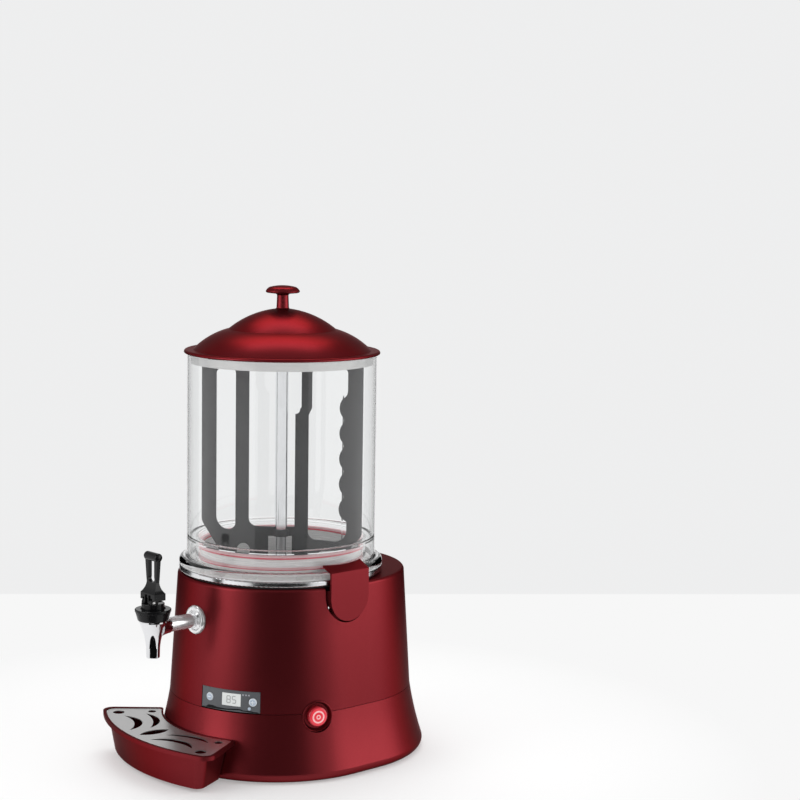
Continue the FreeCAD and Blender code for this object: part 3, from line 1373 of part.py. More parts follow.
def power_switch():
    out = "(seam_radius + 0.9)"
    keep("switch_bezel", radial("switch_bezel", [
        (f"{out} - 16", "bezel_bore"), (f"{out} - 5", "bezel_bore"), (f"{out} - 5", "bezel_mouth"),
        (f"{out} - 0.6", "bezel_radius - 1.4"), (f"{out}", "bezel_radius - 0.8", "-1"),
        (f"{out} - 0.8", "bezel_radius", "-0.9"), (f"{out} - 10", "bezel_radius"),
        (f"{out} - 10", "bezel_bore + 3"), (f"{out} - 16", "bezel_bore + 3"),
    ], "power_at", "power_z"))
    keep("power_button", radial("power_button", [
        (f"{out} - 11", "0"), (f"{out} + 3.2", "0"),
        (f"{out} + 2.6", "power_radius - 2.4", "-((power_radius - 2.4)^2 + 0.36) / 1.2"),
        (f"{out} + 0.6", "power_radius", "-2.4"), (f"{out} - 11", "power_radius"),
    ], "power_at", "power_z"))
    body = radial("switch_barrel", [
        (f"{out} - 32", "0"), (f"{out} - 13.4", "0"), (f"{out} - 13.4", "bezel_bore - 1.4"),
        (f"{out} - 16", "bezel_bore - 1.4"), (f"{out} - 16", "bezel_bore + 3"),
        (f"{out} - 18", "bezel_bore + 3"),
        (f"{out} - 18", "bezel_bore - 1"), (f"{out} - 32", "bezel_bore - 1"),
    ], "power_at", "power_z")
    keep("switch_body", body)


# ---------------------------------------------------------------- drip tray

def sector_corners(inner, outer, half, outer_round, inner_round):
    """A ring sector with rounded corners about the front direction, in XY. Its inner arc is
    about the origin; its outer one is flatter, about a point tray_bow behind the origin."""
    def spot(radius, angle, side):
        return (f"{side}({radius}) * sin({angle})", f"-({radius}) * cos({angle})")
    bow = f"({outer} + tray_bow)"
    rest = f"({bow} - {outer_round})"
    side_line = (f"(sqrt({rest}^2 - (tray_bow * sin({half}) + {outer_round})^2)"
                 f" - tray_bow * cos({half}))")
    across = f"({side_line} * sin({half}) - {outer_round} * cos({half}))"
    along = f"({side_line} * cos({half}) + {outer_round} * sin({half}) + tray_bow)"
    arc_end = (f"{bow} * {across} / {rest}", f"tray_bow - {bow} * {along} / {rest}")
    inner_arc = f"({half} - asin(({inner_round}) / ({inner} + {inner_round})) / 1 deg)"
    inner_line = f"sqrt(({inner} + {inner_round})^2 - ({inner_round})^2)"
    return [
        (f"-({arc_end[0]})", arc_end[1], outer_round),
        ("0", f"-({outer})", bow),
        (*arc_end, bow),
        (*spot(side_line, half, ""), outer_round),
        spot(inner_line, half, ""),
        (*spot(inner, inner_arc, ""), inner_round),
        ("0", f"-({inner})", f"-({inner})"),
        (*spot(inner, inner_arc, "-"), f"-({inner})"),
        (*spot(inner_line, half, "-"), inner_round),
        spot(side_line, half, "-"),
    ]


def loft(body, kind, low, high):
    """A straight-sided loft between two sectors: (height, sector numbers) each."""
    sketches = []
    for height, *sector in (low, high):
        sketch = new_sketch(body, "XY", offset=height)
        outline(sketch, sector_corners(*sector))
        sketches.append(sketch)
    return feature(body, kind, sketches[0], Sections=[sketches[1]], Ruled=True)


def drip_tray():
    body = new_body("tray_blank", turn="tray_turn")
    neck_z = "(tray_top - tray_lip)"
    loft(body, "AdditiveLoft",
         ("tray_low", "floor_inner", "floor_outer", "floor_half", "(neck_corner - 2)", "4"),
         (neck_z, "neck_inner", "neck_outer", "neck_half", "neck_corner", "5"))
    add(body, "Pad", "XY", sector_corners("tray_inner", "tray_outer", "tray_half", "tray_corner", "5"),
        offset=neck_z, Length="tray_lip")
    neck = ("(neck_inner + tray_wall)", "(neck_outer - tray_wall)", "(neck_half - 0.9)",
            "(neck_corner - tray_wall)",
            "3")
    loft(body, "SubtractiveLoft",
         ("tray_low + tray_wall", "(floor_inner + tray_wall)", "(floor_outer - tray_wall)",
          "(floor_half - 0.9)",
          "(neck_corner - 2 - tray_wall)", "3"),
         (neck_z, *neck))
    add(body, "Pocket", "XY", sector_corners(*neck), offset=neck_z, Length="10", Reversed=True)
    room = sector_corners("(grid_inner - 0.4)", "(grid_outer + 0.4)", "(grid_half + 0.15)",
                          "(grid_corner + 0.4)", "4.4")
    add(body, "Pocket", "XY", room, offset="tray_top - grid_drop - grid_thick - 0.2", Length="10",
        Reversed=True)
    tongues = []
    for tag, side in (("right", "1"), ("left", "-1")):
        middle = f"{side} * tongue_x"
        tongue = new_body(f"tray_tongue_{tag}", turn="tray_turn")
        add(tongue, "Pad", "XY", [
            (f"{middle} - tongue_across / 2", "-134"), (f"{middle} - tongue_across / 2", "-149.5"),
            (f"{middle} + tongue_across / 2", "-149.5"), (f"{middle} + tongue_across / 2", "-134"),
        ], offset="tongue_z_low", Length="tongue_thick")
        tongues.append(tongue)
    keep("drip_tray", fuse("drip_tray", [body] + tongues))


def drip_grid():
    body = new_body("drip_grid", turn="tray_turn")
    add(body, "Pad", "XY", sector_corners("grid_inner", "grid_outer", "grid_half", "grid_corner", "4"),
        offset="tray_top - grid_drop - grid_thick", Length="grid_thick")
    sketch = new_sketch(body, "XY")
    for side in ("", "-"):
        circle(sketch, f"{side}199.5 * sin(29.6)", "-199.5 * cos(29.6)", "7")
        circle(sketch, f"{side}158.4 * sin(29.9)", "-158.4 * cos(29.9)", "5")
        crescent(sketch, side, ("24", "-199"), ("81.5", "-175.5"), "35", "-59")
        crescent(sketch, side, ("18.5", "-174"), ("75.5", "-148.5"), "41", "-85")
    outline(sketch, [("0", "-199", "29"), ("0", "-159", "29")])
    feature(body, "Pocket", sketch, Type=1, Midplane=True)
    keep("drip_grid", body)


def crescent(sketch, side, near, far, bulge, dip):
    """A crescent slot between two tips, bowed towards the machine."""
    near = (side + near[0], near[1])
    far = (side + far[0], far[1])
    if side:
        near, far = far, near
    outline(sketch, [(*near, bulge), (*far, dip)])


# ---------------------------------------------------------------- mains inlet

def power_inlet():
    wide = "inlet_width"
    tall = "inlet_height"
    flange = block("inlet_flange", f"{wide} + 26", "2.5", f"{tall} + 10", x=f"-({wide} + 26) / 2",
                   y="inlet_face - 2.5", z=f"inlet_z - ({tall} + 10) / 2")
    barrel = block("inlet_barrel", f"{wide} + 4.4", "inlet_deep + 2", f"{tall} + 4.4",
                   x=f"-({wide} + 4.4) / 2",
                   y="inlet_face - inlet_deep - 2", z=f"inlet_z - ({tall} + 4.4) / 2")
    cavity = new_body("inlet_cavity", z="inlet_z")
    add(cavity, "Pad", "XZ", [
        (f"-{wide} / 2", f"-{tall} / 2"), (f"{wide} / 2", f"-{tall} / 2"), (f"{wide} / 2", f"{tall} / 2 - 5"),
        (f"{wide} / 2 - 5", f"{tall} / 2"), (f"-{wide} / 2 + 5", f"{tall} / 2"),
        (f"-{wide} / 2", f"{tall} / 2 - 5"),
    ], offset="-(inlet_face - inlet_deep)", Length="inlet_deep + 10", Reversed=True)
    pins = [
        block(f"inlet_pin_{i}", "2", "inlet_deep - 3", "4", x=f"{x} - 1", y="inlet_face - inlet_deep",
              z=f"inlet_z + {z} - 2")
        for i, (x, z) in enumerate(((-7, 0.5), (7, 0.5), (0, 3.5)))
    ]
    holes = [
        rod(f"inlet_screw_hole_{i}", "1.7", "12", x=f"{x} * 20", y="inlet_face - 4", z="inlet_z", along="Y")
        for i, x in enumerate((1, -1))
    ]
    keep("power_inlet", cut("power_inlet", fuse("inlet_shell", [flange, barrel]),
                            fuse("inlet_tools", [cavity] + holes)))
    keep("inlet_pins", group("inlet_pins", pins))


# ---------------------------------------------------------------- build and export

SUB_PARTS = [
    upper_casing, base_skirt, bottom_plate, rubber_feet, base_screws, ring_and_gasket, steel_pot,
    water_jacket,
    pot_seals, clear_bowl, lid, centre_tube, drive_shaft, agitator, drive, tap_shank, tap_body, tap_collar,
    tap_bonnet, tap_stem, tap_spring, tap_lever, latches, controls, power_switch, drip_tray, drip_grid,
    power_inlet,
]

for make in SUB_PARTS:
    make()
doc.recompute()

for thing in doc.Objects:
    if "Invalid" in thing.State or "Error" in thing.State:
        raise RuntimeError(f"{thing.Label} is {thing.State}")
for name, thing in nodes.items():
    if thing.Shape.isNull() or not thing.Shape.isValid() or not thing.Shape.Solids:
        raise RuntimeError(f"{name} has no valid solid")

os.makedirs(OUT, exist_ok=True)
for name, thing in nodes.items():
    thing.Shape.exportStep(os.path.join(OUT, name + ".step"))
    print(f"{name}: {len(thing.Shape.Solids)} solid(s), {thing.Shape.Volume / 1000:.2f} cm3")
print(len(nodes), "sub-parts")
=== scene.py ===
"""Finishes, small parts and studio for the counter-top hot chocolate dispenser."""

import json
import math

import bmesh
import bpy
from bpy.props import FloatProperty, FloatVectorProperty, PointerProperty
from bpy.types import Operator, Panel, PropertyGroup
from mathutils import Matrix, Vector

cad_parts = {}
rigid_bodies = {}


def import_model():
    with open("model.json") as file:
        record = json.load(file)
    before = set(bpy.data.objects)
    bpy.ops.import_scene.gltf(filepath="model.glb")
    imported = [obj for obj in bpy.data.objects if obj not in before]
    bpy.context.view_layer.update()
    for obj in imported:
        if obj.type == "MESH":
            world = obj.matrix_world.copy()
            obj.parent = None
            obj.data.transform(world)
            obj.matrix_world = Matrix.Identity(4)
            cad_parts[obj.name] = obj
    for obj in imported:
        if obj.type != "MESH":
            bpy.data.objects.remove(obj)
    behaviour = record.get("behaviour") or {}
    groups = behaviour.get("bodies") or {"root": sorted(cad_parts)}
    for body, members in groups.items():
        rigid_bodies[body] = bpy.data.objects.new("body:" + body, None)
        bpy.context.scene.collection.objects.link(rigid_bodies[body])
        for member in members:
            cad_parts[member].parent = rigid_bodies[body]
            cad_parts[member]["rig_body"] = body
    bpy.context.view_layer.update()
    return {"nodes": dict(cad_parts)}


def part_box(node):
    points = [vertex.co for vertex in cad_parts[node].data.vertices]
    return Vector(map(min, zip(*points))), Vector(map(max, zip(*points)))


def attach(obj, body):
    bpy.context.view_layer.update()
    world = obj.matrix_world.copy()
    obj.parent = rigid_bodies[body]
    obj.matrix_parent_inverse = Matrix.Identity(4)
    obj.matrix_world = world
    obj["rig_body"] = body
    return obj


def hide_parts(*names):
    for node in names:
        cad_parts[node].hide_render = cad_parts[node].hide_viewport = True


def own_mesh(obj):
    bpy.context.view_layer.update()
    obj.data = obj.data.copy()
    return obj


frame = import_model()

bl_info = {
    "name": "Hot chocolate dispenser",
    "version": (1, 0, 0),
    "blender": (4, 5, 0),
    "location": "3D View > Sidebar > Dispenser",
    "description": "Finishes the pieces of a counter-top hot chocolate dispenser and sets up its studio",
    "category": "Object",
}

MM = 0.001

# Upright axes: the bowl's, and that of the casing's round front, whose radius is half the casing's width.
BOWL_AXIS = Vector((sum(c.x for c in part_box("bowl")) / 2, sum(c.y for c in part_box("bowl")) / 2, 0))
CASING_AXIS = Vector((0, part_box("upper_casing")[0].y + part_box("upper_casing")[1].x, 0))

# Places round the casing's axis, in degrees from the front towards the right.
KEY_BEARINGS = {"minus_button": 13.3, "plus_button": 38.0, "set_button": 36.2, "power_button": 71.4}
WAVE_BEARINGS = (8.6, 41.3)

# Cap radii of the panel's keys in mm, and the shares of them where the even middle ends and the pale edge
# starts.
KEY_RADII = {"minus_button": 5.7, "plus_button": 5.7, "set_button": 2.8}
KEY_MIDDLE = 0.62
KEY_EDGE = 0.8
KEY_MARK_LENGTH = 4.6 * MM

# Rings of the power lens: the distance from its middle in mm, and whether the ring is pale there.
LENS_RINGS = ((0, False), (1.2, False), (1.6, True), (2.6, True), (3, False), (5.5, False), (5.9, True),
              (7.4, True), (7.8, False), (9.8, False))
LENS_RADIUS = 11.2 * MM

# Painted shade along the panel's foot: along the panel from 0 to 1, with the wave's lower and upper edge in
# mm above WAVE_FOOT.
PANEL_WAVE = ((0, 0, 0.3), (0.06, 0, 0.6), (0.13, 0, 3.4), (0.19, 0, 3.5), (0.3, 0.2, 2.3), (0.45, 0.7, 2.1),
              (0.58, 1.3, 2.8), (0.68, 1.7, 3.2), (0.755, 0.9, 1.9), (0.86, 0.2, 1.6), (0.95, 0, 0.9),
              (1, 0, 0.4))
WAVE_FOOT = 0.3 * MM
WAVE_STEPS = 6

# How deep printed marks and the panel's painted shade are sunk in their surface, the steps round the end of
# a bar, and a distance from the casing's axis that is outside everything that is marked.
MARK_SUNK = 0.05 * MM
END_STEPS = 6
OUTSIDE = 0.2

# Bars of each figure on the seven-segment display, the figures it shows, and the gaps at the ends of upright
# bars, at the ends of level bars and between figures, as shares of the stroke.
DIGIT_BARS = {"8": "abcdefg", "5": "acdfg"}
DISPLAY_FIGURES = "85"
UPRIGHT_GAP = 0.1
LEVEL_GAP = 0.4
FIGURE_GAP = 2.6

# A latch pin's head: its radius as a share of the pin's, with its distance from the pin's end in mm.
HEAD_PROFILE = ((1.35, 0.02), (1.35, 0.2), (1.1, 0.5), (0.65, 0.7))
HEAD_TIP = 0.8 * MM
HEAD_SIDES = 24

# Lamps: name, power setting, size, turn from the camera's bearing in degrees, distance from the bowl's axis
# (behind it if below 0) and height.
LAMPS = (
    ("key_lamp", "key_power", (0.9, 2.0), -62, 1.7, 0.75),
    ("fill_lamp", "fill_power", (1.4, 1.3), 78, 1.7, 0.6),
    ("top_lamp", "top_power", (1.3, 0.9), 0, -0.75, 1.95),
)
# Black cards: name, turn from the camera's bearing in degrees, distance from the bowl's axis, height of the
# middle, width and height. The one on the floor has its distance, height above the floor, width and depth.
CARDS = (
    ("front_card", 0, 0.95, 0.3, 1.1, 0.6),
    ("high_card", 0, 1.5, 1.5, 1.9, 0.9),
    ("left_card", -135, 0.9, 0.3, 0.7, 0.6),
    ("right_card", 135, 0.9, 0.3, 0.7, 0.6),
)
FLOOR_CARD = (0.62, 0.0006, 1.1, 0.62)
FLOOR_WIDTH = 60
FLOOR_DROP = 0.2 * MM
AIM_HEIGHT = 0.3


# ---------------------------------------------------------------- settings

def colour(name, description, default):
    """A colour setting."""
    return FloatVectorProperty(name=name, description=description, default=default, subtype="COLOR",
                               size=3, min=0, max=1)


def length(name, description, default):
    """A setting in metres."""
    return FloatProperty(name=name, description=description, default=default, unit="LENGTH", min=0)


def power(name, description, default):
    """A lamp's power setting."""
    return FloatProperty(name=name, description=description, default=default, unit="POWER", min=0)


def angle(name, description, degrees):
    """An angle setting. Its default is given in degrees."""
    return FloatProperty(name=name, description=description, default=math.radians(degrees), subtype="ANGLE")


class DispenserColours(PropertyGroup):
    paint: colour("Paint", "Metallic red of the casing, lid, latches and tray", (0.17, 0.018, 0.022))
    paint_flake: colour("Paint flake", "Lighter red of the flakes in the paint", (0.26, 0.03, 0.037))
    paint_edge: colour("Paint at a glance", "Dark red of the paint seen edge on", (0.16, 0.015, 0.018))
    bowl: colour("Bowl", "Tint of the clear bowl", (0.995, 1.0, 1.0))
    steel: colour("Steel", "Brushed stainless steel", (0.62, 0.615, 0.61))
    chrome: colour("Chrome", "Plated tap parts", (0.8, 0.805, 0.82))
    # The pot's near-white tone is painted light: it makes the steel read bright through the bowl.
    pot: colour("Pot", "Satin steel of the pot under the bowl", (0.93, 0.93, 0.92))
    plated: colour("Plated", "Bright plate of the tap's shank and rose", (0.9, 0.9, 0.91))
    paddle: colour("Paddle", "Grey plastic of the agitator", (0.062, 0.063, 0.065))
    seal: colour("Seal", "Red line of the silicone seals under the bowl", (0.7, 0.02, 0.06))
    seal_milk: colour("Seal body", "Milky pink of the silicone seals", (0.86, 0.5, 0.53))
    black: colour("Black plastic", "Tap handle and collar", (0.005, 0.005, 0.0055))
    rubber: colour("Rubber", "Feet and gasket", (0.02, 0.02, 0.021))
    panel: colour("Panel", "Grey film of the control panel", (0.093, 0.098, 0.106))
    wave: colour("Panel wave", "Black wave printed along the panel's foot", (0.006, 0.006, 0.007))
    # The panel wave's black is painted shade along the panel's foot.
    display: colour("Display", "Grey glass of the display", (0.72, 0.74, 0.73))
    digit: colour("Digits", "Digits of the display", (0.36, 0.37, 0.37))
    key: colour("Keys", "Blue-grey middle of the keys", (0.4, 0.47, 0.56))
    key_edge: colour("Key edges", "Pale edge and mark of the keys", (0.72, 0.76, 0.8))
    lamp: colour("Lamps", "Unlit lamps of the panel", (0.33, 0.34, 0.37))
    lens: colour("Power lens", "Red lens of the power switch", (0.72, 0.035, 0.055))
    ring: colour("Lens rings", "Pale rings of the power lens", (0.85, 0.48, 0.48))
    motor: colour("Motor", "Painted motor case", (0.03, 0.034, 0.04))
    alloy: colour("Alloy", "Cast gearbox case", (0.45, 0.45, 0.46))
    bronze: colour("Bronze", "Bushes, nut and probe", (0.42, 0.27, 0.1))
    board: colour("Board", "Printed board behind the panel", (0.015, 0.14, 0.05))


class DispenserSizes(PropertyGroup):
    paint_grain: length("Paint grain", "Size of the flakes in the paint", 0.0006)
    brush_line: length("Brush line", "Spacing of the lines in brushed steel", 0.0005)
    mark_thick: length("Print thickness", "How far printed marks stand up", 0.00012)
    digit_high: length("Digit height", "Height of a digit on the display", 0.0082)
    digit_wide: length("Digit width", "Width of a digit on the display", 0.0044)
    stroke: length("Stroke", "Width of the strokes of digits and key marks", 0.00105)


class StudioSettings(PropertyGroup):
    floor: colour("Floor", "Pale floor", (0.93, 0.93, 0.93))
    backdrop: colour("Backdrop", "Pale wall tone behind the floor", (0.855, 0.857, 0.86))
    focal_length: FloatProperty(name="Focal length", description="Camera lens", default=88.47,
                                subtype="DISTANCE_CAMERA", min=1)
    distance: length("Distance", "Camera to the bowl's axis, level", 2.4)
    height: length("Height", "Camera above the floor", 0.737)
    bearing: angle("Bearing", "Camera's place round the bowl's axis, from the tap", 50.85)
    yaw: angle("Yaw", "How far the camera looks past the axis", -3.46)
    pitch: angle("Pitch", "How far the camera looks down", 7.04)
    roll: angle("Roll", "How far the camera leans", 0.85)
    wall_turn: angle("Wall turn", "How far the wall's foot is turned from square on", 3.8)
    wall_distance: length("Wall distance", "Where the floor's tone turns into the wall's", 0.87)
    key_power: power("Key power", "Lamp on the left", 12)
    fill_power: power("Fill power", "Lamp on the right", 11)
    top_power: power("Top power", "Lamp overhead", 13)
    ceiling: FloatProperty(name="Ceiling", description="Tone of the ceiling in mirrors against the wall's",
                           default=0.35, min=0, max=1)
    ambient: FloatProperty(name="Ambient", description="Strength of the light from all round",
                           default=0.8, min=0)


# ---------------------------------------------------------------- material helpers

def start_material(name):
    """A fresh material with one Principled shader. Returns the material, its tree and the shader."""
    material = bpy.data.materials.new(name)
    material.use_nodes = True
    tree = material.node_tree
    return material, tree, tree.nodes["Principled BSDF"]


def add_node(tree, kind, **inputs):
    """Adds a node and sets its inputs. A socket given as a value is linked to the input."""
    node = tree.nodes.new(kind)
    for name, given in inputs.items():
        socket = node.inputs[name.replace("_", " ")]
        if isinstance(given, bpy.types.NodeSocket):
            tree.links.new(given, socket)
        else:
            socket.default_value = given
    return node


def place_on_object(tree, stretch=(1, 1, 1)):
    """Object coordinates, stretched."""
    where = tree.nodes.new("ShaderNodeTexCoord")
    mapping = add_node(tree, "ShaderNodeMapping", Vector=where.outputs["Object"], Scale=stretch)
    return mapping.outputs["Vector"]


def noise(tree, size, detail=2.0, stretch=(1, 1, 1)):
    """A noise whose features are about as large as size, in metres."""
    return add_node(tree, "ShaderNodeTexNoise", Vector=place_on_object(tree, stretch), Scale=1 / size,
                    Detail=detail).outputs["Fac"]


def between(tree, amount, low, high, start=0.0, end=1.0):
    """A number that runs from low to high as amount runs from start to end."""
    node = add_node(tree, "ShaderNodeMapRange", Value=amount)
    node.inputs["From Min"].default_value = start
    node.inputs["From Max"].default_value = end
    node.inputs["To Min"].default_value = low
    node.inputs["To Max"].default_value = high
    return node.outputs["Result"]


def maths(tree, operation, first, second):
    """A number worked out from two others."""
    node = add_node(tree, "ShaderNodeMath")
    node.operation = operation
    tree.links.new(first, node.inputs[0])
    tree.links.new(second, node.inputs[1])
    return node.outputs["Value"]


def vector_maths(tree, operation, vector, other=(0, 0, 0)):
    """A node that works on a vector, alone or with a fixed one."""
    node = add_node(tree, "ShaderNodeVectorMath", Vector=vector)
    node.operation = operation
    node.inputs[1].default_value = other
    return node


def surface_of(tree, amount, first, second, end="Material Output"):
    """Shows the first shader where amount is 0 and the second where it is 1."""
    mix = tree.nodes.new("ShaderNodeMixShader")
    tree.links.new(amount, mix.inputs[0])
    tree.links.new(first, mix.inputs[1])
    tree.links.new(second, mix.inputs[2])
    tree.links.new(mix.outputs["Shader"], tree.nodes[end].inputs["Surface"])


def colour_from(tree, shader, colour_socket):
    """Links a colour to the shader's base."""
    tree.links.new(colour_socket, shader.inputs["Base Color"])


def roughness_from(tree, shader, roughness_socket):
    """Links a number to the shader's roughness."""
    tree.links.new(roughness_socket, shader.inputs["Roughness"])


def blend_colours(tree, amount, first, second):
    """A colour that runs from the first to the second as amount runs from 0 to 1."""
    mix = tree.nodes.new("ShaderNodeMix")
    mix.data_type = "RGBA"
    tree.links.new(amount, mix.inputs["Factor"])
    mix.inputs["A"].default_value = (*first, 1)
    mix.inputs["B"].default_value = (*second, 1)
    return mix.outputs["Result"]


def bump(tree, shader, height, depth, strength=1.0):
    """Raises the surface by up to depth where height is 1."""
    node = add_node(tree, "ShaderNodeBump", Height=height, Strength=strength, Distance=depth)
    tree.links.new(node.outputs["Normal"], shader.inputs["Normal"])


def shade(base, by):
    """A colour made darker or lighter."""
    return tuple(min(1, c * by) for c in base)


# ---------------------------------------------------------------- finishes

def satin_paint(settings, sizes):
    """Metallic lacquer: fine flakes in a satin surface."""
    material, tree, shader = start_material("satin_red_paint")
    flakes = noise(tree, sizes.paint_grain, 3)
    drift = noise(tree, 60 * sizes.paint_grain, 2)
    tone = between(tree, flakes, 0.0, 0.5, 0.35, 0.8)
    colour_from(tree, shader, blend_colours(tree, tone, settings.paint, settings.paint_flake))
    roughness_from(tree, shader, between(tree, drift, 0.31, 0.36))
    shader.inputs["Metallic"].default_value = 0.86
    shader.inputs["Specular Tint"].default_value = (*settings.paint_edge, 1)
    shader.inputs["Specular IOR Level"].default_value = 0.2
    bump(tree, shader, flakes, 0.00003, 0.35)
    return material


def clear_plastic(settings):
    """Clear bowl: it bends sight and lets the lamps through."""
    material, tree, shader = start_material("clear_bowl_plastic")
    haze = noise(tree, 0.05, 1)
    colour_from(tree, shader, blend_colours(tree, haze, shade(settings.bowl, 0.985), settings.bowl))
    shader.inputs["Roughness"].default_value = 0
    shader.inputs["Transmission Weight"].default_value = 1
    shader.inputs["IOR"].default_value = 1.43
    shader.inputs["Specular IOR Level"].default_value = 0.12
    path = tree.nodes.new("ShaderNodeLightPath")
    clear = tree.nodes.new("ShaderNodeBsdfTransparent")
    surface_of(tree, path.outputs["Is Shadow Ray"], shader.outputs["BSDF"], clear.outputs["BSDF"])
    return material


def seal_silicone(settings, name, node):
    """Milky silicone with a red line along its lower half."""
    material, tree, shader = start_material(name)
    low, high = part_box(node)
    split = add_node(tree, "ShaderNodeSeparateXYZ", Vector=place_on_object(tree))
    middle = (low.z + high.z) / 2
    up = between(tree, split.outputs["Z"], 0.0, 1.0, middle - 0.8 * MM, middle + 0.2 * MM)
    colour_from(tree, shader, blend_colours(tree, up, settings.seal, settings.seal_milk))
    roughness_from(tree, shader, between(tree, noise(tree, 0.002), 0.25, 0.35))
    return material


def brushed_steel(tone, sizes, name, stretch, roughness=0.26, metallic=1.0):
    """Stainless steel with fine lines. stretch is large along the directions across the lines."""
    material, tree, shader = start_material(name)
    lines = noise(tree, sizes.brush_line, 2, stretch)
    colour_from(tree, shader, blend_colours(tree, lines, shade(tone, 0.82), shade(tone, 1.12)))
    roughness_from(tree, shader, between(tree, lines, roughness - 0.06, roughness + 0.08, 0.3, 0.7))
    shader.inputs["Metallic"].default_value = metallic
    bump(tree, shader, lines, 0.00002, 0.4)
    return material


def polished(name, tone, low=0.03, high=0.08, metallic=1.0):
    """Bright plate with a faint haze. Its roughness runs from low to high."""
    material, tree, shader = start_material(name)
    haze = noise(tree, 0.02, 3)
    colour_from(tree, shader, blend_colours(tree, haze, shade(tone, 0.94), shade(tone, 1.06)))
    roughness_from(tree, shader, between(tree, haze, low, high))
    shader.inputs["Metallic"].default_value = metallic
    return material


def moulded(name, base, roughness, grain=0.0008, depth=0.00003, metallic=0.0, gloss=0.5):
    """Moulded plastic, rubber or plain paint: a fine grain in tone, gloss and surface."""
    material, tree, shader = start_material(name)
    fine = noise(tree, grain, 3)
    broad = noise(tree, 0.03, 2)
    colour_from(tree, shader, blend_colours(tree, broad, shade(base, 0.88), shade(base, 1.12)))
    roughness_from(tree, shader, between(tree, fine, roughness - 0.05, roughness + 0.05, 0.3, 0.7))
    shader.inputs["Metallic"].default_value = metallic
    shader.inputs["Specular IOR Level"].default_value = gloss
    bump(tree, shader, fine, depth, 0.5)
    return material


def outward(bearing):
    """The level direction away from the casing's axis at a bearing from the front, in degrees."""
    turn = math.radians(bearing)
    return Vector((math.sin(turn), -math.cos(turn), 0))


def ringed(name, node, stops, roughness=0.2, glow=0.0):
    """A round cap coloured in rings. stops are (distance from the cap's middle, colour)."""
    material, tree, shader = start_material(name)
    low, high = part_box(node)
    middle = CASING_AXIS + Vector((0, 0, (low.z + high.z) / 2))
    off = vector_maths(tree, "SUBTRACT", place_on_object(tree), middle)
    across = vector_maths(tree, "CROSS_PRODUCT", off.outputs["Vector"], outward(KEY_BEARINGS[node]))
    far = vector_maths(tree, "LENGTH", across.outputs["Vector"]).outputs["Value"]
    reach = stops[-1][0]
    ramp = add_node(tree, "ShaderNodeValToRGB", Fac=between(tree, far, 0.0, 1.0, 0.0, reach))
    points = ramp.color_ramp.elements
    while len(points) < len(stops):
        points.new(0.5)
    for point, (distance, tone) in zip(points, stops):
        point.position = distance / reach
        point.color = (*tone, 1)
    colour_from(tree, shader, ramp.outputs["Color"])
    if glow:
        tree.links.new(ramp.outputs["Color"], shader.inputs["Emission Color"])
        shader.inputs["Emission Strength"].default_value = glow
    roughness_from(tree, shader, between(tree, noise(tree, 0.002), roughness - 0.03, roughness + 0.03))
    return material


def dress(material, *nodes):
    """Gives CAD nodes a material."""
    for name in nodes:
        for slot in frame["nodes"][name].material_slots:
            slot.material = material


# ---------------------------------------------------------------- printed and raised marks, and painted shade

def surface_point(node, bearing, height):
    """Where a line out of the casing's axis leaves a node, at a bearing and height, and the normal there."""
    way = outward(bearing)
    off_the_seams = Vector((0.011 * MM, 0.017 * MM, 0.023 * MM))
    start = CASING_AXIS + way * OUTSIDE + Vector((0, 0, height)) + off_the_seams
    hit, place, normal, _ = frame["nodes"][node].ray_cast(start, -way)
    if not hit:
        raise RuntimeError(f"nothing of {node} at bearing {bearing:.1f} and height {height:.4f}")
    return place, normal


def marked_sheet(name, columns, node, material, thick):
    """A thin closed sheet on a node's face. columns are (bearing, lower height, upper height)."""
    work = bmesh.new()
    rows = []
    for bearing, low, high in columns:
        ends = []
        for height in (low, high):
            place, normal = surface_point(node, bearing, height)
            under = work.verts.new(place - normal * MARK_SUNK)
            ends.append((under, work.verts.new(place + normal * thick)))
        rows.append(ends)
    for (a, b), (c, d) in zip(rows, rows[1:]):
        work.faces.new((a[1], c[1], d[1], b[1]))
        work.faces.new((a[0], b[0], d[0], c[0]))
        work.faces.new((a[0], c[0], c[1], a[1]))
        work.faces.new((b[0], b[1], d[1], d[0]))
    for low, high in (rows[0], rows[-1]):
        work.faces.new((low[0], low[1], high[1], high[0]))
    return put_on(name, closed_mesh(name, work), node, material)


def closed_mesh(name, work):
    """The mesh of a closed bmesh, with its faces turned outward."""
    bmesh.ops.recalc_face_normals(work, faces=work.faces)
    mesh = bpy.data.meshes.new(name)
    work.to_mesh(mesh)
    work.free()
    return mesh


def put_on(name, mesh, node, material):
    """Makes an object of a mesh that rides with a node's body and is finished as a material slot."""
    mesh.materials.append(material)
    thing = bpy.data.objects.new(name, mesh)
    bpy.context.scene.collection.objects.link(thing)
    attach(thing, frame["nodes"][node]["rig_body"])
    return thing


def strokes(name, bars, node, material, thick):
    """Short round-ended bars on a node's face, all one mesh.

    bars are (bearing, height, length, width, tilt)."""
    work = bmesh.new()
    for bearing, height, long, wide, tilt in bars:
        place, normal = surface_point(node, bearing, height)
        side = Vector((0, 0, 1)).cross(normal).normalized()
        rise = normal.cross(side)
        along = side * math.cos(tilt) + rise * math.sin(tilt)
        across = normal.cross(along)
        outline = []
        for end in (1, -1):
            for step in range(END_STEPS + 1):
                turn = math.pi * (step / END_STEPS - 0.5)
                spread = (along * math.cos(turn) + across * math.sin(turn)) * (end * wide / 2)
                outline.append(place + along * (end * (long - wide) / 2) + spread)
        lower = [work.verts.new(point - normal * MARK_SUNK) for point in outline]
        upper = [work.verts.new(point + normal * thick) for point in outline]
        work.faces.new(upper)
        work.faces.new(lower[::-1])
        for i in range(len(outline)):
            j = (i + 1) % len(outline)
            work.faces.new((lower[i], lower[j], upper[j], upper[i]))
    return put_on(name, closed_mesh(name, work), node, material)


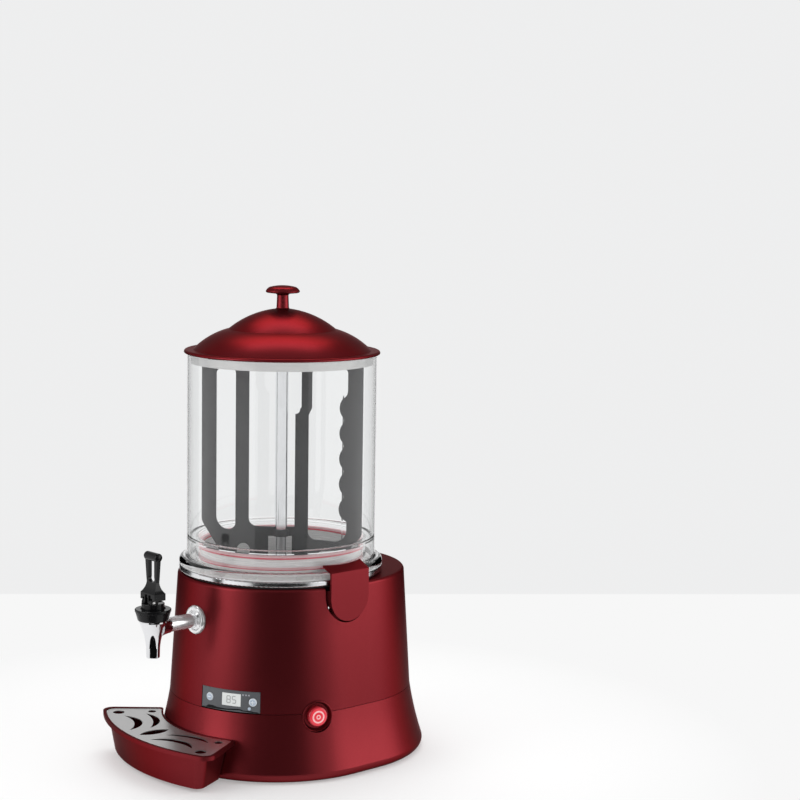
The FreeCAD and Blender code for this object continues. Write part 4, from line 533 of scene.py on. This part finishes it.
def digit_strokes(figure, bearing, height, sizes, radius):
    """The bars of one seven-segment figure round a middle bearing and height."""
    wide, high, stroke = sizes.digit_wide, sizes.digit_high, sizes.stroke
    spots = {
        "a": (0, high / 2, 0), "d": (0, -high / 2, 0), "g": (0, 0, 0), "b": (wide / 2, high / 4, 1),
        "c": (wide / 2, -high / 4, 1), "e": (-wide / 2, -high / 4, 1), "f": (-wide / 2, high / 4, 1),
    }
    bars = []
    for letter in DIGIT_BARS[figure]:
        right, up, upright = spots[letter]
        long = high / 2 - UPRIGHT_GAP * stroke if upright else wide - LEVEL_GAP * stroke
        at = bearing + math.degrees(right / radius)
        bars.append((at, height + up, long, stroke, upright * math.pi / 2))
    return bars


# ---------------------------------------------------------------- stage

def aim(thing, target):
    """Turns a lamp or card to face a place."""
    thing.rotation_euler = (Vector(target) - thing.location).to_track_quat("-Z", "Y").to_euler()


def lamp(name, watts, size, place, target):
    """A soft rectangular lamp."""
    data = bpy.data.lights.new(name, "AREA")
    data.shape = "RECTANGLE"
    data.energy = watts
    data.size, data.size_y = size
    thing = bpy.data.objects.new(name, data)
    bpy.context.scene.collection.objects.link(thing)
    thing.location = place
    aim(thing, target)
    return thing


def keep_off(thing, lamps):
    """Keeps the glare of the lamps off one object."""
    shaded = bpy.data.collections.new("no_glare")
    shaded.objects.link(thing)
    shaded.collection_objects[0].light_linking.link_state = "EXCLUDE"
    for one in lamps:
        one.light_linking.receiver_collection = shaded


def flat_sheet(name, width, height, material):
    """A flat rectangle that belongs to the stage."""
    mesh = bpy.data.meshes.new(name)
    corners = [(-width / 2, -height / 2, 0), (width / 2, -height / 2, 0), (width / 2, height / 2, 0),
               (-width / 2, height / 2, 0)]
    mesh.from_pydata(corners, [], [(0, 1, 2, 3)])
    mesh.materials.append(material)
    thing = bpy.data.objects.new(name, mesh)
    bpy.context.scene.collection.objects.link(thing)
    return thing


def round_the_axis(bearing, distance, height):
    """A place by its bearing from the tap, its distance from the bowl's axis and its height."""
    return Vector((distance * math.sin(bearing), BOWL_AXIS.y - distance * math.cos(bearing), height))


def seen_or_mirrored(tree):
    """1 for rays that show a surface directly, in a mirror or through glass."""
    path = tree.nodes.new("ShaderNodeLightPath").outputs
    direct = maths(tree, "MAXIMUM", path["Is Camera Ray"], path["Is Glossy Ray"])
    return maths(tree, "MAXIMUM", direct, path["Is Transmission Ray"])


def floor_material(studio):
    """Pale floor that takes the shadow close to the machine and is an even tone further out."""
    material, tree, shader = start_material("studio_floor")
    shader.inputs["Base Color"].default_value = (*studio.floor, 1)
    shader.inputs["Roughness"].default_value = 0.9
    shader.inputs["Specular IOR Level"].default_value = 0
    where = tree.nodes.new("ShaderNodeTexCoord")
    out = vector_maths(tree, "LENGTH", where.outputs["Object"]).outputs["Value"]
    far_seen = maths(tree, "MULTIPLY", between(tree, out, 0.3, 1.0, 0.2, 0.6), seen_or_mirrored(tree))
    split = add_node(tree, "ShaderNodeSeparateXYZ", Vector=where.outputs["Object"])
    edge = studio.wall_distance
    wall = between(tree, split.outputs["Y"], 0.0, 1.0, edge - 4 * MM, edge + 4 * MM)
    tone = blend_colours(tree, wall, studio.floor, studio.backdrop)
    even = add_node(tree, "ShaderNodeEmission", Color=tone)
    surface_of(tree, far_seen, shader.outputs["BSDF"], even.outputs["Emission"])
    return material


def studio_world(studio):
    """Even light from all round. Mirrors see a wall's tone that darkens upwards, as a ceiling does."""
    world = bpy.data.worlds.new("studio_world")
    world.use_nodes = True
    tree = world.node_tree
    lit = tree.nodes["Background"]
    lit.inputs["Color"].default_value = (1, 1, 1, 1)
    lit.inputs["Strength"].default_value = studio.ambient
    where = tree.nodes.new("ShaderNodeTexCoord")
    split = add_node(tree, "ShaderNodeSeparateXYZ", Vector=where.outputs["Generated"])
    high = between(tree, split.outputs["Z"], 0.0, 1.0, 0.2, 0.65)
    path = tree.nodes.new("ShaderNodeLightPath")
    dim = maths(tree, "MULTIPLY", high, path.outputs["Is Glossy Ray"])
    tone = blend_colours(tree, dim, studio.backdrop, shade(studio.backdrop, studio.ceiling))
    seen = add_node(tree, "ShaderNodeBackground", Color=tone, Strength=1.0)
    surface_of(tree, seen_or_mirrored(tree), lit.outputs["Background"], seen.outputs["Background"],
               "World Output")
    bpy.context.scene.world = world


def black_card(name, bearing, distance, height, width, tall, material):
    """A matt black card that only mirrors see, to give shiny things a dark edge."""
    card = flat_sheet(name, width, tall, material)
    card.location = round_the_axis(bearing, distance, height)
    aim(card, (0, BOWL_AXIS.y, height))
    card.visible_camera = False
    card.visible_diffuse = False
    card.visible_shadow = False
    card.visible_transmission = False
    return card


class DISPENSER_OT_stage(Operator):
    """Make the floor, the lamps and the camera"""
    bl_idname = "dispenser.stage"
    bl_label = "Stage"

    def execute(self, context):
        studio = context.scene.studio_settings
        floor = flat_sheet("studio_floor", FLOOR_WIDTH, FLOOR_WIDTH, floor_material(studio))
        floor.location = (0, BOWL_AXIS.y, -FLOOR_DROP)
        floor.rotation_euler.z = studio.bearing + studio.yaw + studio.wall_turn
        studio_world(studio)
        self.lamps(studio)
        self.cards(studio)
        self.camera(context, studio)
        context.scene.view_settings.view_transform = "Standard"
        return {"FINISHED"}

    def lamps(self, studio):
        """The lamps, all aimed at the middle of the machine and kept off the bowl."""
        middle = (0, BOWL_AXIS.y, AIM_HEIGHT)
        lamps = []
        for name, setting, size, turn, distance, height in LAMPS:
            place = round_the_axis(studio.bearing + math.radians(turn), distance, height)
            lamps.append(lamp(name, getattr(studio, setting), size, place, middle))
        keep_off(frame["nodes"]["bowl"], lamps)

    def cards(self, studio):
        """The black cards round the machine and on the floor in front of it."""
        black, _, shader = start_material("black_card")
        shader.inputs["Base Color"].default_value = (0.004, 0.004, 0.004, 1)
        shader.inputs["Specular IOR Level"].default_value = 0
        for name, turn, distance, height, width, tall in CARDS:
            bearing = studio.bearing + math.radians(turn)
            black_card(name, bearing, distance, height, width, tall, black)
        floor_card = black_card("floor_card", studio.bearing, *FLOOR_CARD, black)
        floor_card.rotation_euler = (0, 0, studio.bearing)

    def camera(self, context, studio):
        """The camera, from its bearing, height, heading, pitch and roll."""
        data = bpy.data.cameras.new("studio_camera")
        data.lens = studio.focal_length
        data.clip_end = 100
        thing = bpy.data.objects.new("studio_camera", data)
        context.scene.collection.objects.link(thing)
        heading = studio.bearing + studio.yaw
        ahead = Vector((-math.sin(heading) * math.cos(studio.pitch),
                        math.cos(heading) * math.cos(studio.pitch), -math.sin(studio.pitch)))
        level = Vector((math.cos(heading), math.sin(heading), 0))
        upright = level.cross(ahead)
        right = level * math.cos(studio.roll) + upright * math.sin(studio.roll)
        up = upright * math.cos(studio.roll) - level * math.sin(studio.roll)
        turn = Matrix((right, up, -ahead)).transposed()
        place = round_the_axis(studio.bearing, studio.distance, studio.height)
        thing.matrix_world = Matrix.Translation(place) @ turn.to_4x4()
        context.scene.camera = thing


# ---------------------------------------------------------------- pieces

class DISPENSER_OT_painted(Operator):
    """Paint the casing, the lid, the latches and the tray"""
    bl_idname = "dispenser.painted"
    bl_label = "Painted parts"

    def execute(self, context):
        paint = satin_paint(context.scene.dispenser_colours, context.scene.dispenser_sizes)
        dress(paint, "upper_casing", "base_skirt", "lid_dome", "lid_knob", "latch_right", "latch_left",
              "switch_bezel", "drip_tray")
        return {"FINISHED"}


class DISPENSER_OT_metal(Operator):
    """Finish the steel and chrome parts"""
    bl_idname = "dispenser.metal"
    bl_label = "Metal parts"

    def execute(self, context):
        colours = context.scene.dispenser_colours
        sizes = context.scene.dispenser_sizes
        around = brushed_steel(colours.steel, sizes, "steel_brushed_round", (0.02, 0.02, 1))
        along = brushed_steel(colours.steel, sizes, "steel_brushed_upright", (1, 1, 0.02), 0.2)
        sheet = brushed_steel(colours.steel, sizes, "steel_brushed_sheet", (0.03, 1, 1), 0.36)
        band = brushed_steel(colours.steel, sizes, "steel_lid_band", (0.02, 0.02, 1), 0.15)
        # Near white and barely metallic: painted brightness in place of the light a lit steel pan reflects.
        pot = brushed_steel(colours.pot, sizes, "steel_satin_pot", (0.02, 0.02, 1), 0.26, 0.12)
        dress(around, "water_jacket", "knob_screw", "base_screws")
        dress(band, "lid_band")
        dress(pot, "inner_pot")
        dress(polished("polished_tube", colours.chrome, 0.1, 0.16), "centre_tube", "agitator_sleeve")
        dress(along, "drive_shaft", "tap_stem", "tap_spring", "latch_pins", "lever_pin", "stem_link_pin",
              "heating_element")
        dress(sheet, "drip_grid", "bottom_plate", "motor_bracket")
        dress(polished("polished_chrome", colours.chrome), "tap_body")
        dress(polished("ring_chrome", colours.chrome, 0.16, 0.2), "chrome_ring")
        dress(polished("bright_plate", colours.plated, 0.14, 0.2, 0.72), "tap_shank", "tap_escutcheon")
        dress(moulded("cast_alloy", colours.alloy, 0.5, 0.0012, 0.00008, 0.9), "gearbox")
        bronze = moulded("bronze", colours.bronze, 0.35, 0.001, 0.00003, 1.0)
        dress(bronze, "shaft_bushes", "thermostat_probe", "shank_nut", "inlet_pins")
        return {"FINISHED"}


class DISPENSER_OT_pin_heads(Operator):
    """Put a domed head on each end of the latch pins"""
    bl_idname = "dispenser.pin_heads"
    bl_label = "Pin heads"

    def execute(self, context):
        colours = context.scene.dispenser_colours
        steel = polished("pin_steel", colours.chrome, 0.15, 0.25)
        low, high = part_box("latch_pins")
        radius = (high.z - low.z) / 2
        for side, x in (("left", low.x + radius), ("right", high.x - radius)):
            for end, y, way in (("front", low.y, -1), ("rear", high.y, 1)):
                middle = Vector((x, y, (low.z + high.z) / 2))
                self.head(f"pin_head_{side}_{end}", middle, way, radius, steel)
        return {"FINISHED"}

    def head(self, name, middle, way, radius, material):
        """One head, a closed dome of revolution that points way along y."""
        work = bmesh.new()
        loops = []
        for share, out in HEAD_PROFILE:
            reach = radius * share
            loop = []
            for i in range(HEAD_SIDES):
                turn = 2 * math.pi * i / HEAD_SIDES
                spot = Vector((reach * math.cos(turn), way * out * MM, reach * math.sin(turn)))
                loop.append(work.verts.new(middle + spot))
            loops.append(loop)
        for first, second in zip(loops, loops[1:]):
            for i in range(HEAD_SIDES):
                j = (i + 1) % HEAD_SIDES
                work.faces.new((first[i], first[j], second[j], second[i]))
        work.faces.new(loops[0])
        tip = work.verts.new(middle + Vector((0, way * HEAD_TIP, 0)))
        for i in range(HEAD_SIDES):
            work.faces.new((loops[-1][i], loops[-1][(i + 1) % HEAD_SIDES], tip))
        for face in work.faces:
            face.smooth = len(face.verts) < HEAD_SIDES
        put_on(name, closed_mesh(name, work), "latch_pins", material)


class DISPENSER_OT_valve_spring(Operator):
    """Put a copy of the CAD spring in the tap, riding with the spring's body"""
    bl_idname = "dispenser.valve_spring"
    bl_label = "Valve spring"

    def execute(self, context):
        steel = polished("spring_steel", context.scene.dispenser_colours.steel, 0.2, 0.3)
        mesh = frame["nodes"]["tap_spring"].data.copy()
        mesh.materials.clear()
        spring = put_on("valve_spring", mesh, "tap_spring", steel)
        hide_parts("tap_spring")
        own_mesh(spring)
        return {"FINISHED"}


class DISPENSER_OT_plastic(Operator):
    """Finish the bowl, the paddle, the seals and the moulded parts"""
    bl_idname = "dispenser.plastic"
    bl_label = "Plastic and rubber parts"

    def execute(self, context):
        colours = context.scene.dispenser_colours
        dress(clear_plastic(colours), "bowl")
        dress(moulded("paddle_plastic", colours.paddle, 0.45, gloss=0.25), "agitator_paddle", "agitator_cap")
        for node in ("upper_seal", "lower_seal"):
            dress(seal_silicone(colours, node + "_silicone", node), node)
        dress(moulded("plug_silicone", colours.seal, 0.3, 0.002), "tap_plug")
        glossy = moulded("gloss_black_plastic", colours.black, 0.16, 0.002, 0.00001, gloss=0.22)
        dress(glossy, "tap_lever", "tap_bonnet", "tap_collar")
        dress(moulded("black_plastic", colours.black, 0.4), "switch_body", "power_inlet")
        dress(moulded("black_rubber", colours.rubber, 0.7), "rubber_feet", "deck_gasket", "shank_washer")
        dress(moulded("motor_paint", colours.motor, 0.45), "gear_motor")
        dress(moulded("board_lacquer", colours.board, 0.3), "control_board")
        return {"FINISHED"}


class DISPENSER_OT_controls(Operator):
    """Finish the control panel and the power switch, print their marks and paint shade along the panel's
    foot
    """
    bl_idname = "dispenser.controls"
    bl_label = "Controls"

    def execute(self, context):
        colours = context.scene.dispenser_colours
        sizes = context.scene.dispenser_sizes
        dress(moulded("panel_film", colours.panel, 0.3, gloss=0.3), "control_panel")
        dress(moulded("display_glass", colours.display, 0.12, gloss=0.3), "display_window")
        dress(moulded("lamp_lenses", colours.lamp, 0.2), "indicator_lights")
        for node, radius in KEY_RADII.items():
            rim = radius * MM
            stops = [(0, colours.key), (KEY_MIDDLE * rim, colours.key), (KEY_EDGE * rim, colours.key_edge),
                     (rim, shade(colours.key_edge, 0.6))]
            dress(ringed(node + "_cap", node, stops), node)
        rings = [(distance * MM, colours.ring if pale else colours.lens) for distance, pale in LENS_RINGS]
        # The lens's red darkens to half at its rim: a painted dark reflection round its edge.
        rings.append((LENS_RADIUS, shade(colours.lens, 0.5)))
        dress(ringed("power_lens", "power_button", rings, 0.14, 0.06), "power_button")
        self.key_marks(colours, sizes)
        self.display_digits(colours, sizes)
        self.panel_wave(colours, sizes)
        return {"FINISHED"}

    def key_marks(self, colours, sizes):
        """A minus and a plus, each on its key."""
        paint = moulded("key_print", colours.key_edge, 0.3)
        for node, tilts in (("minus_button", (0,)), ("plus_button", (0, math.pi / 2))):
            low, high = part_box(node)
            middle = (low.z + high.z) / 2
            at = KEY_BEARINGS[node]
            marks = [(at, middle, KEY_MARK_LENGTH, sizes.stroke, tilt) for tilt in tilts]
            strokes(node + "_mark", marks, node, paint, sizes.mark_thick)

    def display_digits(self, colours, sizes):
        """The figures in the middle of the display."""
        low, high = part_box("display_window")
        centre = (low + high) / 2 - CASING_AXIS
        middle = math.degrees(math.atan2(centre.x, -centre.y))
        radius = math.hypot(centre.x, centre.y)
        step = math.degrees((sizes.digit_wide + FIGURE_GAP * sizes.stroke) / radius)
        bars = []
        for place, figure in enumerate(DISPLAY_FIGURES):
            bearing = middle + (place - (len(DISPLAY_FIGURES) - 1) / 2) * step
            bars += digit_strokes(figure, bearing, (low.z + high.z) / 2, sizes, radius)
        mark_finish = moulded("digit_ink", colours.digit, 0.4, gloss=0.2)
        strokes("display_digits", bars, "display_window", mark_finish, sizes.mark_thick)

    def panel_wave(self, colours, sizes):
        """Painted shade: a black wave along the panel's foot, deep on the left and thin on the right."""
        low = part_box("control_panel")[0].z + WAVE_FOOT
        start, end = WAVE_BEARINGS
        columns = []
        for (left, foot, crest), (right, next_foot, next_crest) in zip(PANEL_WAVE, PANEL_WAVE[1:]):
            for i in range(WAVE_STEPS):
                ease = (1 - math.cos(math.pi * i / WAVE_STEPS)) / 2
                bearing = start + (end - start) * (left + (right - left) * i / WAVE_STEPS)
                columns.append((bearing, low + (foot + (next_foot - foot) * ease) * MM,
                                low + (crest + (next_crest - crest) * ease) * MM))
        # Black painted shade, sunk and raised like the printed marks.
        mark_finish = moulded("wave_ink", colours.wave, 0.35, gloss=0.1)
        marked_sheet("panel_wave", columns, "control_panel", mark_finish, sizes.mark_thick)


# ---------------------------------------------------------------- add-on

STEPS = ("painted", "metal", "pin_heads", "valve_spring", "plastic", "controls", "stage")


class DISPENSER_PT_sidebar(Panel):
    """Lists the steps that finish the dispenser"""
    bl_idname = "DISPENSER_PT_sidebar"
    bl_label = "Dispenser"
    bl_space_type = "VIEW_3D"
    bl_region_type = "UI"
    bl_category = "Dispenser"

    def draw(self, context):
        for step in STEPS:
            self.layout.operator("dispenser." + step)
        scene = context.scene
        for group in (scene.dispenser_colours, scene.dispenser_sizes, scene.studio_settings):
            box = self.layout.box()
            for name in group.__annotations__:
                box.prop(group, name)


CLASSES = (
    DispenserColours,
    DispenserSizes,
    StudioSettings,
    DISPENSER_OT_painted,
    DISPENSER_OT_metal,
    DISPENSER_OT_pin_heads,
    DISPENSER_OT_valve_spring,
    DISPENSER_OT_plastic,
    DISPENSER_OT_controls,
    DISPENSER_OT_stage,
    DISPENSER_PT_sidebar,
)


def register():
    """Adds the operators, the sidebar and the settings."""
    for cls in CLASSES:
        bpy.utils.register_class(cls)
    bpy.types.Scene.dispenser_colours = PointerProperty(type=DispenserColours)
    bpy.types.Scene.dispenser_sizes = PointerProperty(type=DispenserSizes)
    bpy.types.Scene.studio_settings = PointerProperty(type=StudioSettings)


def unregister():
    """Takes away what register adds."""
    del bpy.types.Scene.studio_settings
    del bpy.types.Scene.dispenser_sizes
    del bpy.types.Scene.dispenser_colours
    for cls in reversed(CLASSES):
        bpy.utils.unregister_class(cls)


def main():
    """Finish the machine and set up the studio."""
    register()
    for step in STEPS:
        getattr(bpy.ops.dispenser, step)()


if __name__ == "__main__":
    main()
